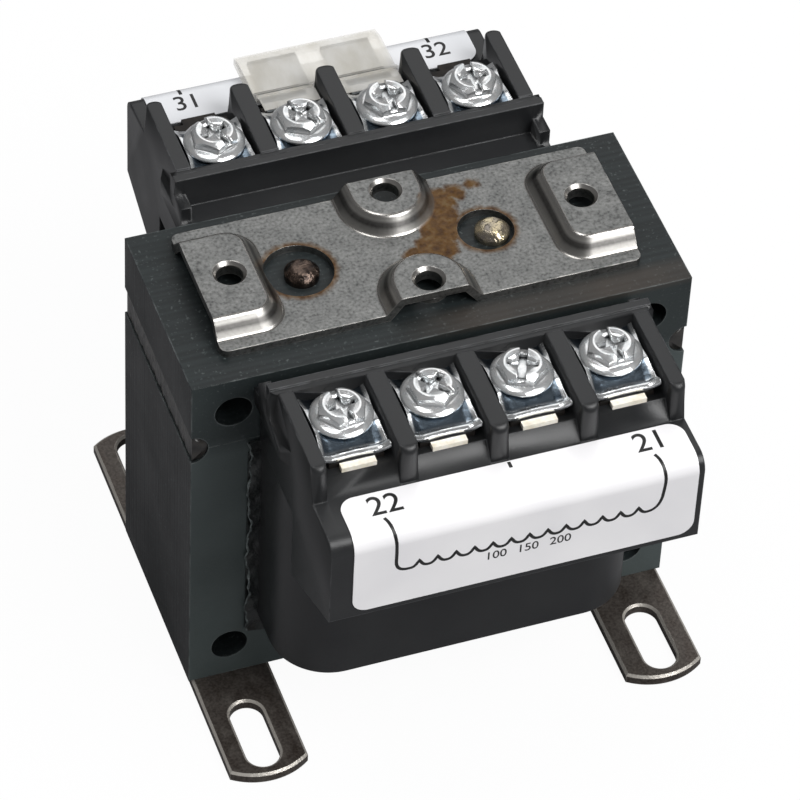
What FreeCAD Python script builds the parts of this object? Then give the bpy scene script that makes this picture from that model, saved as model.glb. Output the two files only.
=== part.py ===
import FreeCAD, Part
import math
import os
import sys
from types import SimpleNamespace

import Sketcher
from FreeCAD import Placement, Rotation, Vector

# Laminated chassis transformer: a welded E and I core on two slotted foot strips, a stamped
# mounting plate on top, and a coil that carries a moulded terminal block at the front and rear.
# Millimetres. +Z is up, the front block faces -Y, and the origin is on the surface that the
# feet stand on, below the middle of the core.

# Driving dimensions
SIZES = {
    # Lamination stack: one-inch centre leg, half-inch windows, legs and yokes
    "stack_depth": 32.0,
    "centre_leg_width": 25.4,
    "window_width": 12.7,
    "outer_leg_width": 12.7,
    "window_height": 38.1,
    "yoke_height": 12.7,
    "core_hole_dia": 5.6,
    "core_hole_inset": 6.35,
    # Weld along the joint of the E and I laminations, in a half-round groove on each side
    "groove_radius": 2.6,
    "bead_radius": 2.55,
    "bead_dip": 1.1,
    "bead_end_gap": 0.3,
    # Foot strips
    "foot_thick": 1.7,
    "foot_width": 12.2,
    "foot_inset": 0.5,
    "foot_reach": 18.7,
    "foot_end_bow": 2.0,
    "foot_edge_break": 0.35,
    "slot_row_pitch": 63.5,
    "slot_inset": 6.125,
    "slot_length": 12.8,
    "slot_width": 5.2,
    # Stamped plate on top of the core
    "plate_width": 64.2,
    "plate_depth": 24.8,
    "plate_thick": 1.3,
    "plate_shift": 1.0,
    "plate_corner": 1.2,
    "plate_raise": 2.7,
    "wall_draw": 0.6,
    "die_overrun": 7.0,
    "pad_foot_edge": 20.9,
    "pad_top_edge": 23.2,
    "pad_foot_depth": 20.6,
    "pad_top_depth": 16.2,
    "pad_foot_round": 4.4,
    "pad_top_round": 2.6,
    "boss_foot_radius": 7.25,
    "boss_top_radius": 5.2,
    "outer_bend": 0.9,
    "inner_bend": 0.8,
    "pad_hole_pitch": 54.0,
    "boss_hole_pitch": 19.05,
    "plate_hole_dia": 4.0,
    "collar_dia": 5.8,
    "collar_depth": 0.9,
    "hole_lip": 0.5,
    "left_weld_hole_dia": 10.4,
    "right_weld_hole_dia": 8.4,
    "left_weld_at": 16.5,
    "right_weld_at": 12.3,
    "nugget_radius": 2.6,
    "nugget_rise": 0.7,
    "nugget_shift": 1.0,
    # Bobbin and windings
    "bobbin_bore_gap": 0.3,
    "bobbin_wall": 1.2,
    "bobbin_end_gap": 0.3,
    "flange_side_gap": 0.7,
    "winding_gap": 0.1,
    "secondary_build": 4.2,
    "primary_build": 4.2,
    "paper_build": 0.4,
    "wrap_build": 0.5,
    "coil_corner": 2.0,
    # Window liners of folded insulation paper
    "liner_thick": 0.35,
    "liner_gap": 0.05,
    "liner_cuff": 4.1,
    "cuff_low": 9.4,
    "cuff_top_gap": 2.8,
    # Moulded covers over the coil ends
    "cover_near_gap": 0.5,
    "cover_reach": 15.5,
    "cover_half_width": 27.7,
    "cover_wall": 1.5,
    "cover_corner": 9.0,
    # Terminal blocks, measured out from the core face and up or down from the core top
    "block_half_width": 27.9,
    "back_wall_half_width": 28.8,
    "wall_reach": 5.3,
    "wall_thick": 2.3,
    "cell_depth": 13.4,
    "barrier_reach": 23.3,
    "nose_reach": 31.8,
    "nose_height": 15.6,
    "nose_undercut": 7.2,
    "nose_round": 2.4,
    "block_rise": 3.8,
    "floor_drop": 0.3,
    "shelf_drop": 1.7,
    "ledge_drop": 2.9,
    "wing_half_width": 28.9,
    "wing_depth": 11.5,
    "wing_thick": 3.0,
    "wing_chamfer": 3.0,
    "cell_pitch": 13.5,
    "cell_width": 10.8,
    "barrier_round": 1.2,
    "wall_step": 0.3,
    "wall_step_width": 1.0,
    "lug_width": 1.8,
    "lug_length": 3.0,
    "lug_height": 2.6,
    "lug_overlap": 0.5,
    # Terminals
    "screw_reach": 13.0,
    "tab_thick": 0.8,
    "tab_width": 8.2,
    "tab_back_reach": 8.2,
    "tab_shoulder_reach": 19.8,
    "tongue_width": 5.2,
    "tongue_reach": 21.0,
    "tail_width": 3.0,
    "tail_length": 9.0,
    "tail_slot_width": 3.6,
    "tail_slot_near": 8.0,
    "tail_slot_far": 10.4,
    "tab_hole_dia": 4.4,
    "clamp_width": 10.2,
    "clamp_depth": 10.7,
    "clamp_top_width": 6.4,
    "clamp_top_depth": 6.6,
    "clamp_lip": 0.5,
    "clamp_slope": 1.4,
    "clamp_sheet": 0.8,
    "clamp_hole_dia": 4.6,
    # Hex washer head screws
    "shank_dia": 4.1,
    "shank_length": 9.5,
    "screw_hole_dia": 4.4,
    "screw_hole_depth": 7.6,
    "flange_dia": 9.2,
    "flange_thick": 0.9,
    "hex_across": 6.35,
    "hex_height": 1.7,
    "hex_crown": 0.5,
    "slot_cut_width": 1.2,
    "slot_cut_depth": 1.0,
    "cross_length": 4.4,
    "cross_width": 1.2,
    "cross_depth": 1.5,
    # Lead wires
    "lead_dia": 1.0,
    "lead_reach": 9.55,
    "lead_top_drop": 3.5,
    "lead_hole_dia": 1.8,
    # Labels wrapped over the nose
    "label_thick": 0.2,
    "label_glue": 0.03,
    "label_width": 51.5,
    "label_shift": 1.2,
    "label_start_reach": 23.8,
    "label_low": 14.5,
    "label_corner": 2.4,
    # Clear sleeve with two jumper links, taped on the rear nose
    "sleeve_width": 22.6,
    "sleeve_shift": -0.7,
    "sleeve_near_reach": 22.2,
    "sleeve_bend_reach": 24.2,
    "sleeve_far_reach": 33.3,
    "sleeve_thick": 2.2,
    "sleeve_lift": 2.0,
    "sleeve_film": 0.25,
    "sleeve_slope_length": 3.0,
    "sleeve_seat": 0.05,
    "sleeve_notch": 3.4,
    "sleeve_notch_reach": 23.7,
    "link_length": 7.0,
    "link_width": 7.6,
    "link_thick": 0.9,
    "link_reach": 25.0,
    "link_pitch": 11.6,
    "link_gap": 0.1,
}

CELLS = 4
FRONT = Placement()
REAR = Placement(Vector(), Rotation(Vector(0, 0, 1), 180))
SCREW_TURNS = {"front": (8.0, 38.0, -24.0, 4.0), "rear": (-2.0, 0.0, 33.0, 22.0)}

document = FreeCAD.newDocument("chassis_transformer")
sheet = document.addObject("Spreadsheet::Sheet", "Sizes")


class Size:
    """A length, as its number and as the sheet formula that gives the number."""

    def __init__(self, formula, number):
        self.formula = formula
        self.number = number

    def join(self, sign, other, number):
        return Size(f"({self.formula} {sign} {other.formula})", number)

    def __add__(self, other):
        other = as_size(other)
        return self.join("+", other, self.number + other.number)

    def __radd__(self, other):
        return as_size(other) + self

    def __sub__(self, other):
        other = as_size(other)
        return self.join("-", other, self.number - other.number)

    def __rsub__(self, other):
        return as_size(other) - self

    def __mul__(self, other):
        other = as_size(other)
        return self.join("*", other, self.number * other.number)

    def __rmul__(self, other):
        return self * other

    def __truediv__(self, other):
        other = as_size(other)
        return self.join("/", other, self.number / other.number)

    def __neg__(self):
        return as_size(0) - self

    def root(self):
        return Size(f"sqrt({self.formula})", math.sqrt(self.number))


def as_size(value):
    return value if isinstance(value, Size) else Size(repr(float(value)), float(value))


for row, (alias, value) in enumerate(SIZES.items(), start=1):
    sheet.set(f"A{row}", alias)
    sheet.set(f"B{row}", str(value))
    sheet.setAlias(f"B{row}", alias)
s = SimpleNamespace(**{alias: Size(f"Sizes.{alias}", value) for alias, value in SIZES.items()})
document.recompute()

nodes = []


# Drawing helpers


def bind(owner, name, size):
    owner.setExpression(name, as_size(size).formula)


def new_body(label, placement=FRONT):
    body = document.addObject("PartDesign::Body", label)
    body.Label = label
    body.Placement = placement
    return body


def keep(piece):
    nodes.append(piece)
    return piece


def origin_plane(body, role):
    return next(plane for plane in body.Origin.OriginFeatures if plane.Role == role)


def new_sketch(body, name, role, height):
    sketch = body.newObject("Sketcher::SketchObject", name)
    sketch.AttachmentSupport = (origin_plane(body, role), [""])
    sketch.MapMode = "FlatFace"
    bind(sketch, "AttachmentOffset.Base.z", height)
    return sketch


def fix(sketch, kind, index, point, size):
    """Holds one coordinate of a point, measured from the sketch's origin."""
    size = as_size(size)
    number = sketch.addConstraint(Sketcher.Constraint(kind, -1, 1, index, point, size.number))
    sketch.setExpression(f"Constraints[{number}]", size.formula)


def add_loop(sketch, corners):
    """Draws a closed loop. A corner is (u, v) at the end of a straight side, or
    (u, v, centre u, centre v, turn) at the end of an arc, where turn is 1 for
    anticlockwise and -1 for clockwise. The side back to the first corner is straight."""
    corners = [tuple(as_size(value) for value in corner[:4]) + tuple(corner[4:]) for corner in corners]
    first = sketch.GeometryCount
    count = len(corners)
    ends = []
    for step in range(count):
        start = corners[step]
        corner = corners[(step + 1) % count]
        a = Vector(start[0].number, start[1].number, 0)
        b = Vector(corner[0].number, corner[1].number, 0)
        is_arc = len(corner) == 5 and step + 1 < count
        if not is_arc:
            sketch.addGeometry(Part.LineSegment(a, b), False)
            ends.append((1, 2))
            continue
        centre = Vector(corner[2].number, corner[3].number, 0)
        low, high = (a, b) if corner[4] > 0 else (b, a)
        start_angle = math.atan2(low.y - centre.y, low.x - centre.x)
        end_angle = math.atan2(high.y - centre.y, high.x - centre.x)
        if end_angle <= start_angle:
            end_angle += 2 * math.pi
        circle = Part.Circle(centre, Vector(0, 0, 1), (a - centre).Length)
        sketch.addGeometry(Part.ArcOfCircle(circle, start_angle, end_angle), False)
        ends.append((1, 2) if corner[4] > 0 else (2, 1))
    for step in range(count):
        following = (step + 1) % count
        meeting = (first + step, ends[step][1], first + following, ends[following][0])
        sketch.addConstraint(Sketcher.Constraint("Coincident", *meeting))
    for step in range(count):
        corner = corners[(step + 1) % count]
        is_arc = len(corner) == 5 and step + 1 < count
        across = up = True
        if is_arc:
            fix(sketch, "DistanceX", first + step, 3, corner[2])
            fix(sketch, "DistanceY", first + step, 3, corner[3])
            side_on = abs(corner[0].number - corner[2].number) > abs(corner[1].number - corner[3].number)
            across, up = not side_on, side_on
        if across:
            fix(sketch, "DistanceX", first + step, ends[step][1], corner[0])
        if up:
            fix(sketch, "DistanceY", first + step, ends[step][1], corner[1])


def add_circle(sketch, u, v, radius):
    u, v, radius = as_size(u), as_size(v), as_size(radius)
    centre = Vector(u.number, v.number, 0)
    index = sketch.addGeometry(Part.Circle(centre, Vector(0, 0, 1), radius.number), False)
    fix(sketch, "DistanceX", index, 3, u)
    fix(sketch, "DistanceY", index, 3, v)
    number = sketch.addConstraint(Sketcher.Constraint("Radius", index, radius.number))
    sketch.setExpression(f"Constraints[{number}]", radius.formula)


def loops_sketch(body, name, role, height, *loops):
    sketch = new_sketch(body, name, role, height)
    for loop in loops:
        add_loop(sketch, loop)
    return sketch


def circles_sketch(body, name, role, height, *circles):
    sketch = new_sketch(body, name, role, height)
    for circle in circles:
        add_circle(sketch, *circle)
    return sketch


def rounded_box(left, low, right, high, radius):
    """Corners of a rectangle with round corners."""
    return [
        (left, low + radius),
        (left + radius, low, left + radius, low + radius, 1),
        (right - radius, low),
        (right, low + radius, right - radius, low + radius, 1),
        (right, high - radius),
        (right - radius, high, right - radius, high - radius, 1),
        (left + radius, high),
        (left, high - radius, left + radius, high - radius, 1),
    ]


def box(left, low, right, high):
    return [(left, low), (right, low), (right, high), (left, high)]


def slot_loop(across, along, length, width):
    """Corners of a round-ended slot that runs along the sketch's second axis."""
    radius = width / 2
    straight = length / 2 - radius
    return [
        (across - radius, along - straight),
        (across + radius, along - straight, across, along - straight, 1),
        (across + radius, along + straight),
        (across - radius, along + straight, across, along + straight, 1),
    ]


def add_pad(body, sketch, length, middle=False, down=False):
    pad = body.newObject("PartDesign::Pad", sketch.Name + "_pad")
    pad.Profile = sketch
    bind(pad, "Length", length)
    if middle:
        pad.SideType = "Symmetric"
    pad.Reversed = down
    finish_step(body, pad)
    return pad


def add_pocket(body, sketch, length=None, middle=False, up=False):
    """Cuts down from the sketch, or up, by a length or right through."""
    before = body.Tip.Shape.Volume
    pocket = body.newObject("PartDesign::Pocket", sketch.Name + "_pocket")
    pocket.Profile = sketch
    if length is None:
        pocket.Type = "ThroughAll"
    else:
        bind(pocket, "Length", length)
    if middle:
        pocket.SideType = "Symmetric"
    pocket.Reversed = up
    finish_step(body, pocket)
    if not pocket.Shape.Volume < before:
        sys.exit(f"{pocket.Name} cuts nothing")
    return pocket


def add_loft(body, kind, lower, upper):
    loft = body.newObject(f"PartDesign::{kind}", lower.Name + "_loft")
    loft.Profile = lower
    loft.Sections = [upper]
    loft.Ruled = True
    finish_step(body, loft)
    return loft


def finish_step(body, feature):
    body.Tip = feature
    document.recompute()
    if "Invalid" in feature.State or "Error" in feature.State or feature.Shape.isNull():
        sys.exit(f"{feature.Name} in {body.Label} failed")


def pick_edges(body, wanted):
    """The body's last feature, and the edges that pass a test on their two ends and middle."""
    names = []
    for number, edge in enumerate(body.Tip.Shape.Edges, start=1):
        start, end = edge.FirstParameter, edge.LastParameter
        points = [edge.valueAt(parameter) for parameter in (start, (start + end) / 2, end)]
        if wanted(*points):
            names.append(f"Edge{number}")
    return body.Tip, names


def add_fillet(body, name, radius, wanted):
    base = pick_edges(body, wanted)
    fillet = body.newObject("PartDesign::Fillet", name)
    fillet.Base = base
    bind(fillet, "Radius", radius)
    finish_step(body, fillet)
    return fillet


def add_chamfer(body, name, size, wanted):
    base = pick_edges(body, wanted)
    chamfer = body.newObject("PartDesign::Chamfer", name)
    chamfer.Base = base
    bind(chamfer, "Size", size)
    finish_step(body, chamfer)
    return chamfer


def repeat_along_x(body, features, pitch, count):
    pattern = body.newObject("PartDesign::LinearPattern", features[0].Name + "_row")
    pattern.Originals = features
    axis = next(line for line in body.Origin.OriginFeatures if line.Role == "X_Axis")
    pattern.Direction = (axis, [""])
    bind(pattern, "Length", pitch * (count - 1))
    pattern.Occurrences = count
    finish_step(body, pattern)
    return pattern


def near(a, b, slack=1e-4):
    return abs(a - b) < slack


def all_near(points, axis, value):
    return all(near(getattr(point, axis), value) for point in points)


def is_inside(points, corners):
    """Whether the points lie clear inside a box, given by its corners."""
    left, low = (as_size(value).number for value in corners[0])
    right, high = (as_size(value).number for value in corners[2])
    return all(
        left + 0.01 < point.x < right - 0.01 and low + 0.01 < point.y < high - 0.01 for point in points
    )


# Levels and faces that several pieces share
core_half = s.centre_leg_width / 2 + s.window_width + s.outer_leg_width
window_edge = s.centre_leg_width / 2 + s.window_width
core_face = s.stack_depth / 2
core_low = s.foot_thick
window_low = core_low + s.yoke_height
joint_level = window_low + s.window_height
core_top = joint_level + s.yoke_height
coil_top = joint_level - s.bobbin_end_gap
floor_level = core_top - s.floor_drop
shelf_level = core_top - s.shelf_drop
ledge_level = core_top - s.ledge_drop
block_top = core_top + s.block_rise


# Core


def e_stack():
    """E laminations, welded in one stack. The three legs point up."""
    body = new_body("e_lamination_stack")
    half_leg = s.centre_leg_width / 2
    outline = [
        (-core_half, core_low),
        (core_half, core_low),
        (core_half, joint_level),
        (window_edge, joint_level),
        (window_edge, window_low),
        (half_leg, window_low),
        (half_leg, joint_level),
        (-half_leg, joint_level),
        (-half_leg, window_low),
        (-window_edge, window_low),
        (-window_edge, joint_level),
        (-core_half, joint_level),
    ]
    add_pad(body, loops_sketch(body, "e_outline", "XZ_Plane", 0, outline), s.stack_depth, middle=True)
    cut_core_holes(body, "e", core_low + s.core_hole_inset)
    return keep(body)


def i_stack():
    """I laminations, laid across the ends of the E legs."""
    body = new_body("i_lamination_stack")
    outline = box(-core_half, joint_level, core_half, core_top)
    add_pad(body, loops_sketch(body, "i_outline", "XZ_Plane", 0, outline), s.stack_depth, middle=True)
    cut_core_holes(body, "i", core_top - s.core_hole_inset)
    return keep(body)


def cut_core_holes(body, prefix, level):
    """Two bolt holes through the stack, and the weld groove at each end of the joint."""
    hole_at = core_half - s.core_hole_inset
    radius = s.core_hole_dia / 2
    holes = circles_sketch(
        body, prefix + "_holes", "XZ_Plane", 0, (-hole_at, level, radius), (hole_at, level, radius)
    )
    add_pocket(body, holes, s.stack_depth * 2, middle=True)
    grooves = circles_sketch(
        body,
        prefix + "_grooves",
        "XZ_Plane",
        0,
        (-core_half, joint_level, s.groove_radius),
        (core_half, joint_level, s.groove_radius),
    )
    add_pocket(body, grooves, s.stack_depth * 2, middle=True)


def joint_weld(label, side):
    """Weld bead that holds the E and I stacks together on one side of the core."""
    body = new_body(label)
    half_chord = (s.bead_radius * s.bead_radius - s.bead_dip * s.bead_dip).root()
    face = side * (core_half - s.bead_dip)
    outline = [
        (face, joint_level + side * half_chord),
        (face, joint_level - side * half_chord, side * core_half, joint_level, 1),
    ]
    sketch = loops_sketch(body, label + "_outline", "XZ_Plane", 0, outline)
    add_pad(body, sketch, s.stack_depth - s.bead_end_gap * 2, middle=True)
    return keep(body)


# Feet


def foot(label, side):
    """Steel strip under one side of the core, with an open slot end at the front and rear."""
    body = new_body(label)
    outer = core_half - s.foot_inset
    inner = outer - s.foot_width
    left, right = (inner, outer) if side > 0 else (-outer, -inner)
    middle = side * (outer - s.foot_width / 2)
    tip = core_face + s.foot_reach
    half = s.foot_width / 2
    bow_radius = (half * half + s.foot_end_bow * s.foot_end_bow) / (s.foot_end_bow * 2)
    bow_centre = tip + s.foot_end_bow - bow_radius
    outline = [
        (left, -tip),
        (right, -tip, middle, -bow_centre, 1),
        (right, tip),
        (left, tip, middle, bow_centre, 1),
    ]
    add_pad(body, loops_sketch(body, label + "_outline", "XY_Plane", 0, outline), s.foot_thick)
    across = side * s.slot_row_pitch / 2
    slot_at = tip - s.slot_inset
    slots = loops_sketch(
        body,
        label + "_slots",
        "XY_Plane",
        s.foot_thick,
        slot_loop(across, -slot_at, s.slot_length, s.slot_width),
        slot_loop(across, slot_at, s.slot_length, s.slot_width),
    )
    add_pocket(body, slots)
    top = s.foot_thick.number
    add_chamfer(body, label + "_edges", s.foot_edge_break, lambda *points: all_near(points, "z", top))
    return keep(body)


# Stamped mounting plate


def pad_outline(side, edge, depth, radius):
    far = s.plate_width / 2 + s.die_overrun
    left, right = (edge, far) if side > 0 else (-far, -edge)
    return rounded_box(left, s.plate_shift - depth / 2, right, s.plate_shift + depth / 2, radius)


def boss_outline(side, radius):
    """Half round, with straight sides that run out past the plate's edge."""
    centre = s.plate_shift + side * s.boss_hole_pitch / 2
    far = s.plate_shift + side * (s.plate_depth / 2 + s.die_overrun)
    return [
        (side * radius, far),
        (-side * radius, far),
        (-side * radius, centre),
        (side * radius, centre, 0, centre, 1),
    ]


def top_plate():
    """Sheet steel, drawn up into a pad at each end and a half-round boss at the front and rear.
    Each raised place runs out to the plate's edge and has an extruded hole."""
    body = new_body("top_mounting_plate")
    half_width = s.plate_width / 2
    front_edge = s.plate_shift - s.plate_depth / 2
    back_edge = s.plate_shift + s.plate_depth / 2
    sheet_top = core_top + s.plate_thick
    raised_top = sheet_top + s.plate_raise
    raised_under = raised_top - s.plate_thick
    margin = s.die_overrun * 2
    blank = box(-half_width - margin, front_edge - margin, half_width + margin, back_edge + margin)
    add_pad(body, loops_sketch(body, "plate_blank", "XY_Plane", core_top, blank), s.plate_thick)

    def draw(prefix, kind, low_level, draw_in):
        high_level = low_level + s.plate_raise
        for name, side in (("left", -1), ("right", 1)):
            shapes = [
                pad_outline(side, edge + draw_in, depth - draw_in * 2, corner - draw_in)
                for edge, depth, corner in (
                    (s.pad_foot_edge, s.pad_foot_depth, s.pad_foot_round),
                    (s.pad_top_edge, s.pad_top_depth, s.pad_top_round),
                )
            ]
            lower = loops_sketch(body, f"{prefix}_{name}_pad_foot", "XY_Plane", low_level, shapes[0])
            upper = loops_sketch(body, f"{prefix}_{name}_pad_top", "XY_Plane", high_level, shapes[1])
            add_loft(body, kind, lower, upper)
        for name, side in (("front", -1), ("back", 1)):
            shapes = [
                boss_outline(side, s.boss_foot_radius - draw_in),
                boss_outline(side, s.boss_top_radius - draw_in),
            ]
            lower = loops_sketch(body, f"{prefix}_{name}_boss_foot", "XY_Plane", low_level, shapes[0])
            upper = loops_sketch(body, f"{prefix}_{name}_boss_top", "XY_Plane", high_level, shapes[1])
            add_loft(body, kind, lower, upper)

    draw("outer", "AdditiveLoft", sheet_top, as_size(0))
    crown = raised_top.number
    foot_level = sheet_top.number
    add_fillet(body, "outer_bends", s.outer_bend, lambda *points: all_near(points, "z", crown))
    add_fillet(
        body,
        "foot_bends",
        s.inner_bend,
        lambda *points: all_near(points, "z", foot_level) and is_inside(points, blank),
    )
    rim = loops_sketch(
        body,
        "trimmed_rim",
        "XY_Plane",
        raised_top + 1,
        box(
            -half_width - margin * 2,
            front_edge - margin * 2,
            half_width + margin * 2,
            back_edge + margin * 2,
        ),
        rounded_box(-half_width, front_edge, half_width, back_edge, s.plate_corner),
    )
    add_pocket(body, rim)

    draw("inner", "SubtractiveLoft", core_top, s.wall_draw)
    hole_radius = s.plate_hole_dia / 2
    collar_radius = s.collar_dia / 2
    places = [
        (-s.pad_hole_pitch / 2, s.plate_shift),
        (s.pad_hole_pitch / 2, s.plate_shift),
        (as_size(0), s.plate_shift - s.boss_hole_pitch / 2),
        (as_size(0), s.plate_shift + s.boss_hole_pitch / 2),
    ]
    collar_circles = [(across, along, collar_radius) for across, along in places]
    collars = circles_sketch(body, "collars", "XY_Plane", raised_under, *collar_circles)
    add_pad(body, collars, s.collar_depth, down=True)
    hole_circles = [(across, along, hole_radius) for across, along in places]
    holes = circles_sketch(body, "plate_holes", "XY_Plane", raised_top, *hole_circles)
    add_pocket(body, holes)
    weld_holes = circles_sketch(
        body,
        "plate_weld_holes",
        "XY_Plane",
        raised_top,
        (-s.left_weld_at, s.plate_shift, s.left_weld_hole_dia / 2),
        (s.right_weld_at, s.plate_shift, s.right_weld_hole_dia / 2),
    )
    add_pocket(body, weld_holes)
    spots = [(across.number, along.number) for across, along in places]

    def is_hole_lip(*points):
        return all_near(points, "z", crown) and any(
            all(near(math.hypot(point.x - across, point.y - along), hole_radius.number) for point in points)
            for across, along in spots
        )

    add_chamfer(body, "hole_lips", s.hole_lip, is_hole_lip)
    return keep(body)


def plate_weld(label, across):
    """Nugget of weld in a hole of the plate, fused to the top of the core."""
    body = new_body(label)
    bind(body, "Placement.Base.x", across)
    bind(body, "Placement.Base.y", s.plate_shift)
    height = s.plate_thick + s.nugget_rise
    shoulder = height / 2
    profile = [
        (0, core_top),
        (s.nugget_radius, core_top),
        (s.nugget_radius, core_top + shoulder),
        (s.nugget_radius * 0.6, core_top + height),
        (0, core_top + height),
    ]
    sketch = loops_sketch(body, label + "_profile", "XZ_Plane", 0, profile)
    add_revolution(body, sketch)
    return keep(body)


def add_revolution(body, sketch):
    turned = body.newObject("PartDesign::Revolution", sketch.Name + "_turned")
    turned.Profile = sketch
    turned.ReferenceAxis = (next(line for line in body.Origin.OriginFeatures if line.Role == "Z_Axis"), [""])
    turned.Angle = 360
    finish_step(body, turned)
    return turned


# Coil
tube_inner_x = s.centre_leg_width / 2 + s.bobbin_bore_gap
tube_inner_y = core_face + s.bobbin_bore_gap
tube_outer_x = tube_inner_x + s.bobbin_wall
tube_outer_y = tube_inner_y + s.bobbin_wall
bobbin_low = window_low + s.bobbin_end_gap
winding_low = bobbin_low + s.bobbin_wall + s.winding_gap
winding_high = coil_top - s.bobbin_wall - s.winding_gap
cover_near = core_face + s.cover_near_gap
cover_far = core_face + s.cover_reach
cell_places = [s.cell_pitch * (number - (CELLS - 1) / 2) for number in range(CELLS)]


def bobbin():
    """Moulded bobbin: a tube round the centre leg with a flange at each end."""
    body = new_body("coil_bobbin")
    tube = rounded_box(-tube_outer_x, -tube_outer_y, tube_outer_x, tube_outer_y, s.coil_corner)
    flange_x = window_edge - s.flange_side_gap
    flange_y = cover_far - s.cover_wall - s.bobbin_end_gap
    flange_corner = s.cover_corner - s.cover_wall - s.bobbin_end_gap
    flange = rounded_box(-flange_x, -flange_y, flange_x, flange_y, flange_corner)
    bore = box(-tube_inner_x, -tube_inner_y, tube_inner_x, tube_inner_y)
    height = coil_top - bobbin_low
    add_pad(body, loops_sketch(body, "bobbin_tube", "XY_Plane", bobbin_low, tube), height)
    add_pad(body, loops_sketch(body, "low_flange", "XY_Plane", bobbin_low, flange), s.bobbin_wall)
    add_pad(body, loops_sketch(body, "high_flange", "XY_Plane", coil_top, flange), s.bobbin_wall, down=True)
    add_pocket(body, loops_sketch(body, "bobbin_bore", "XY_Plane", coil_top, bore))
    reach = core_face + s.lead_reach
    lead_holes = [(place, way * reach, s.lead_hole_dia / 2) for place in cell_places for way in (-1, 1)]
    sketch = circles_sketch(body, "lead_holes", "XY_Plane", coil_top, *lead_holes)
    add_pocket(body, sketch, s.bobbin_wall)
    return keep(body)


def coil_layer(label, start, build):
    """One layer of the coil: a sleeve wound round the bobbin, from its start outwards."""
    body = new_body(label)
    in_x = tube_outer_x + start
    in_y = tube_outer_y + start
    out_x = in_x + build
    out_y = in_y + build
    corner = s.coil_corner
    sketch = loops_sketch(
        body,
        label + "_outline",
        "XY_Plane",
        winding_low,
        rounded_box(-out_x, -out_y, out_x, out_y, corner + start + build),
        rounded_box(-in_x, -in_y, in_x, in_y, corner + start),
    )
    add_pad(body, sketch, winding_high - winding_low)
    return keep(body)


def window_liner(label, side):
    """Insulation paper between the coil and an outer leg, folded back on the core's faces."""
    body = new_body(label)
    on_leg = window_edge - s.liner_gap
    off_leg = on_leg - s.liner_thick
    on_face = core_face + s.liner_gap
    off_face = on_face + s.liner_thick
    cuff_edge = window_edge + s.liner_cuff
    sheet_low = window_low + s.bobbin_end_gap
    sheet_outline = box(off_leg, -off_face, on_leg, off_face)
    front_cuff = box(off_leg, -off_face, cuff_edge, -on_face)
    rear_cuff = box(off_leg, on_face, cuff_edge, off_face)
    if side < 0:
        body.Placement = REAR
    wall = loops_sketch(body, label + "_wall", "XY_Plane", sheet_low, sheet_outline)
    add_pad(body, wall, coil_top - sheet_low)
    cuff_low = core_low + s.cuff_low
    cuff_high = window_low + s.window_height - s.cuff_top_gap
    for name, outline in (("front", front_cuff), ("rear", rear_cuff)):
        cuff = loops_sketch(body, f"{label}_{name}_cuff", "XY_Plane", cuff_low, outline)
        add_pad(body, cuff, cuff_high - cuff_low)
    return keep(body)


def coil_cover(label, placement):
    """Moulded cover over the end of the coil, open towards the core."""
    body = new_body(label, placement)
    half = s.cover_half_width
    wall = s.cover_wall
    corner = s.cover_corner
    turn_at = cover_far - corner
    outline = [
        (-half, -cover_near),
        (-half, -turn_at),
        (corner - half, -cover_far, corner - half, -turn_at, 1),
        (half - corner, -cover_far),
        (half, -turn_at, half - corner, -turn_at, 1),
        (half, -cover_near),
        (half - wall, -cover_near),
        (half - wall, -turn_at),
        (half - corner, wall - cover_far, half - corner, -turn_at, -1),
        (corner - half, wall - cover_far),
        (wall - half, -turn_at, corner - half, -turn_at, -1),
        (wall - half, -cover_near),
    ]
    sketch = loops_sketch(body, label + "_outline", "XY_Plane", bobbin_low, outline)
    add_pad(body, sketch, coil_top - bobbin_low)
    return keep(body)


# Terminal blocks
nose_far = core_face + s.nose_reach
nose_low = ledge_level - s.nose_height
wall_near = core_face + s.wall_reach
cell_near = wall_near + s.wall_thick
floor_end = cell_near + s.cell_depth
barrier_end = core_face + s.barrier_reach
screw_at = core_face + s.screw_reach


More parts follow.
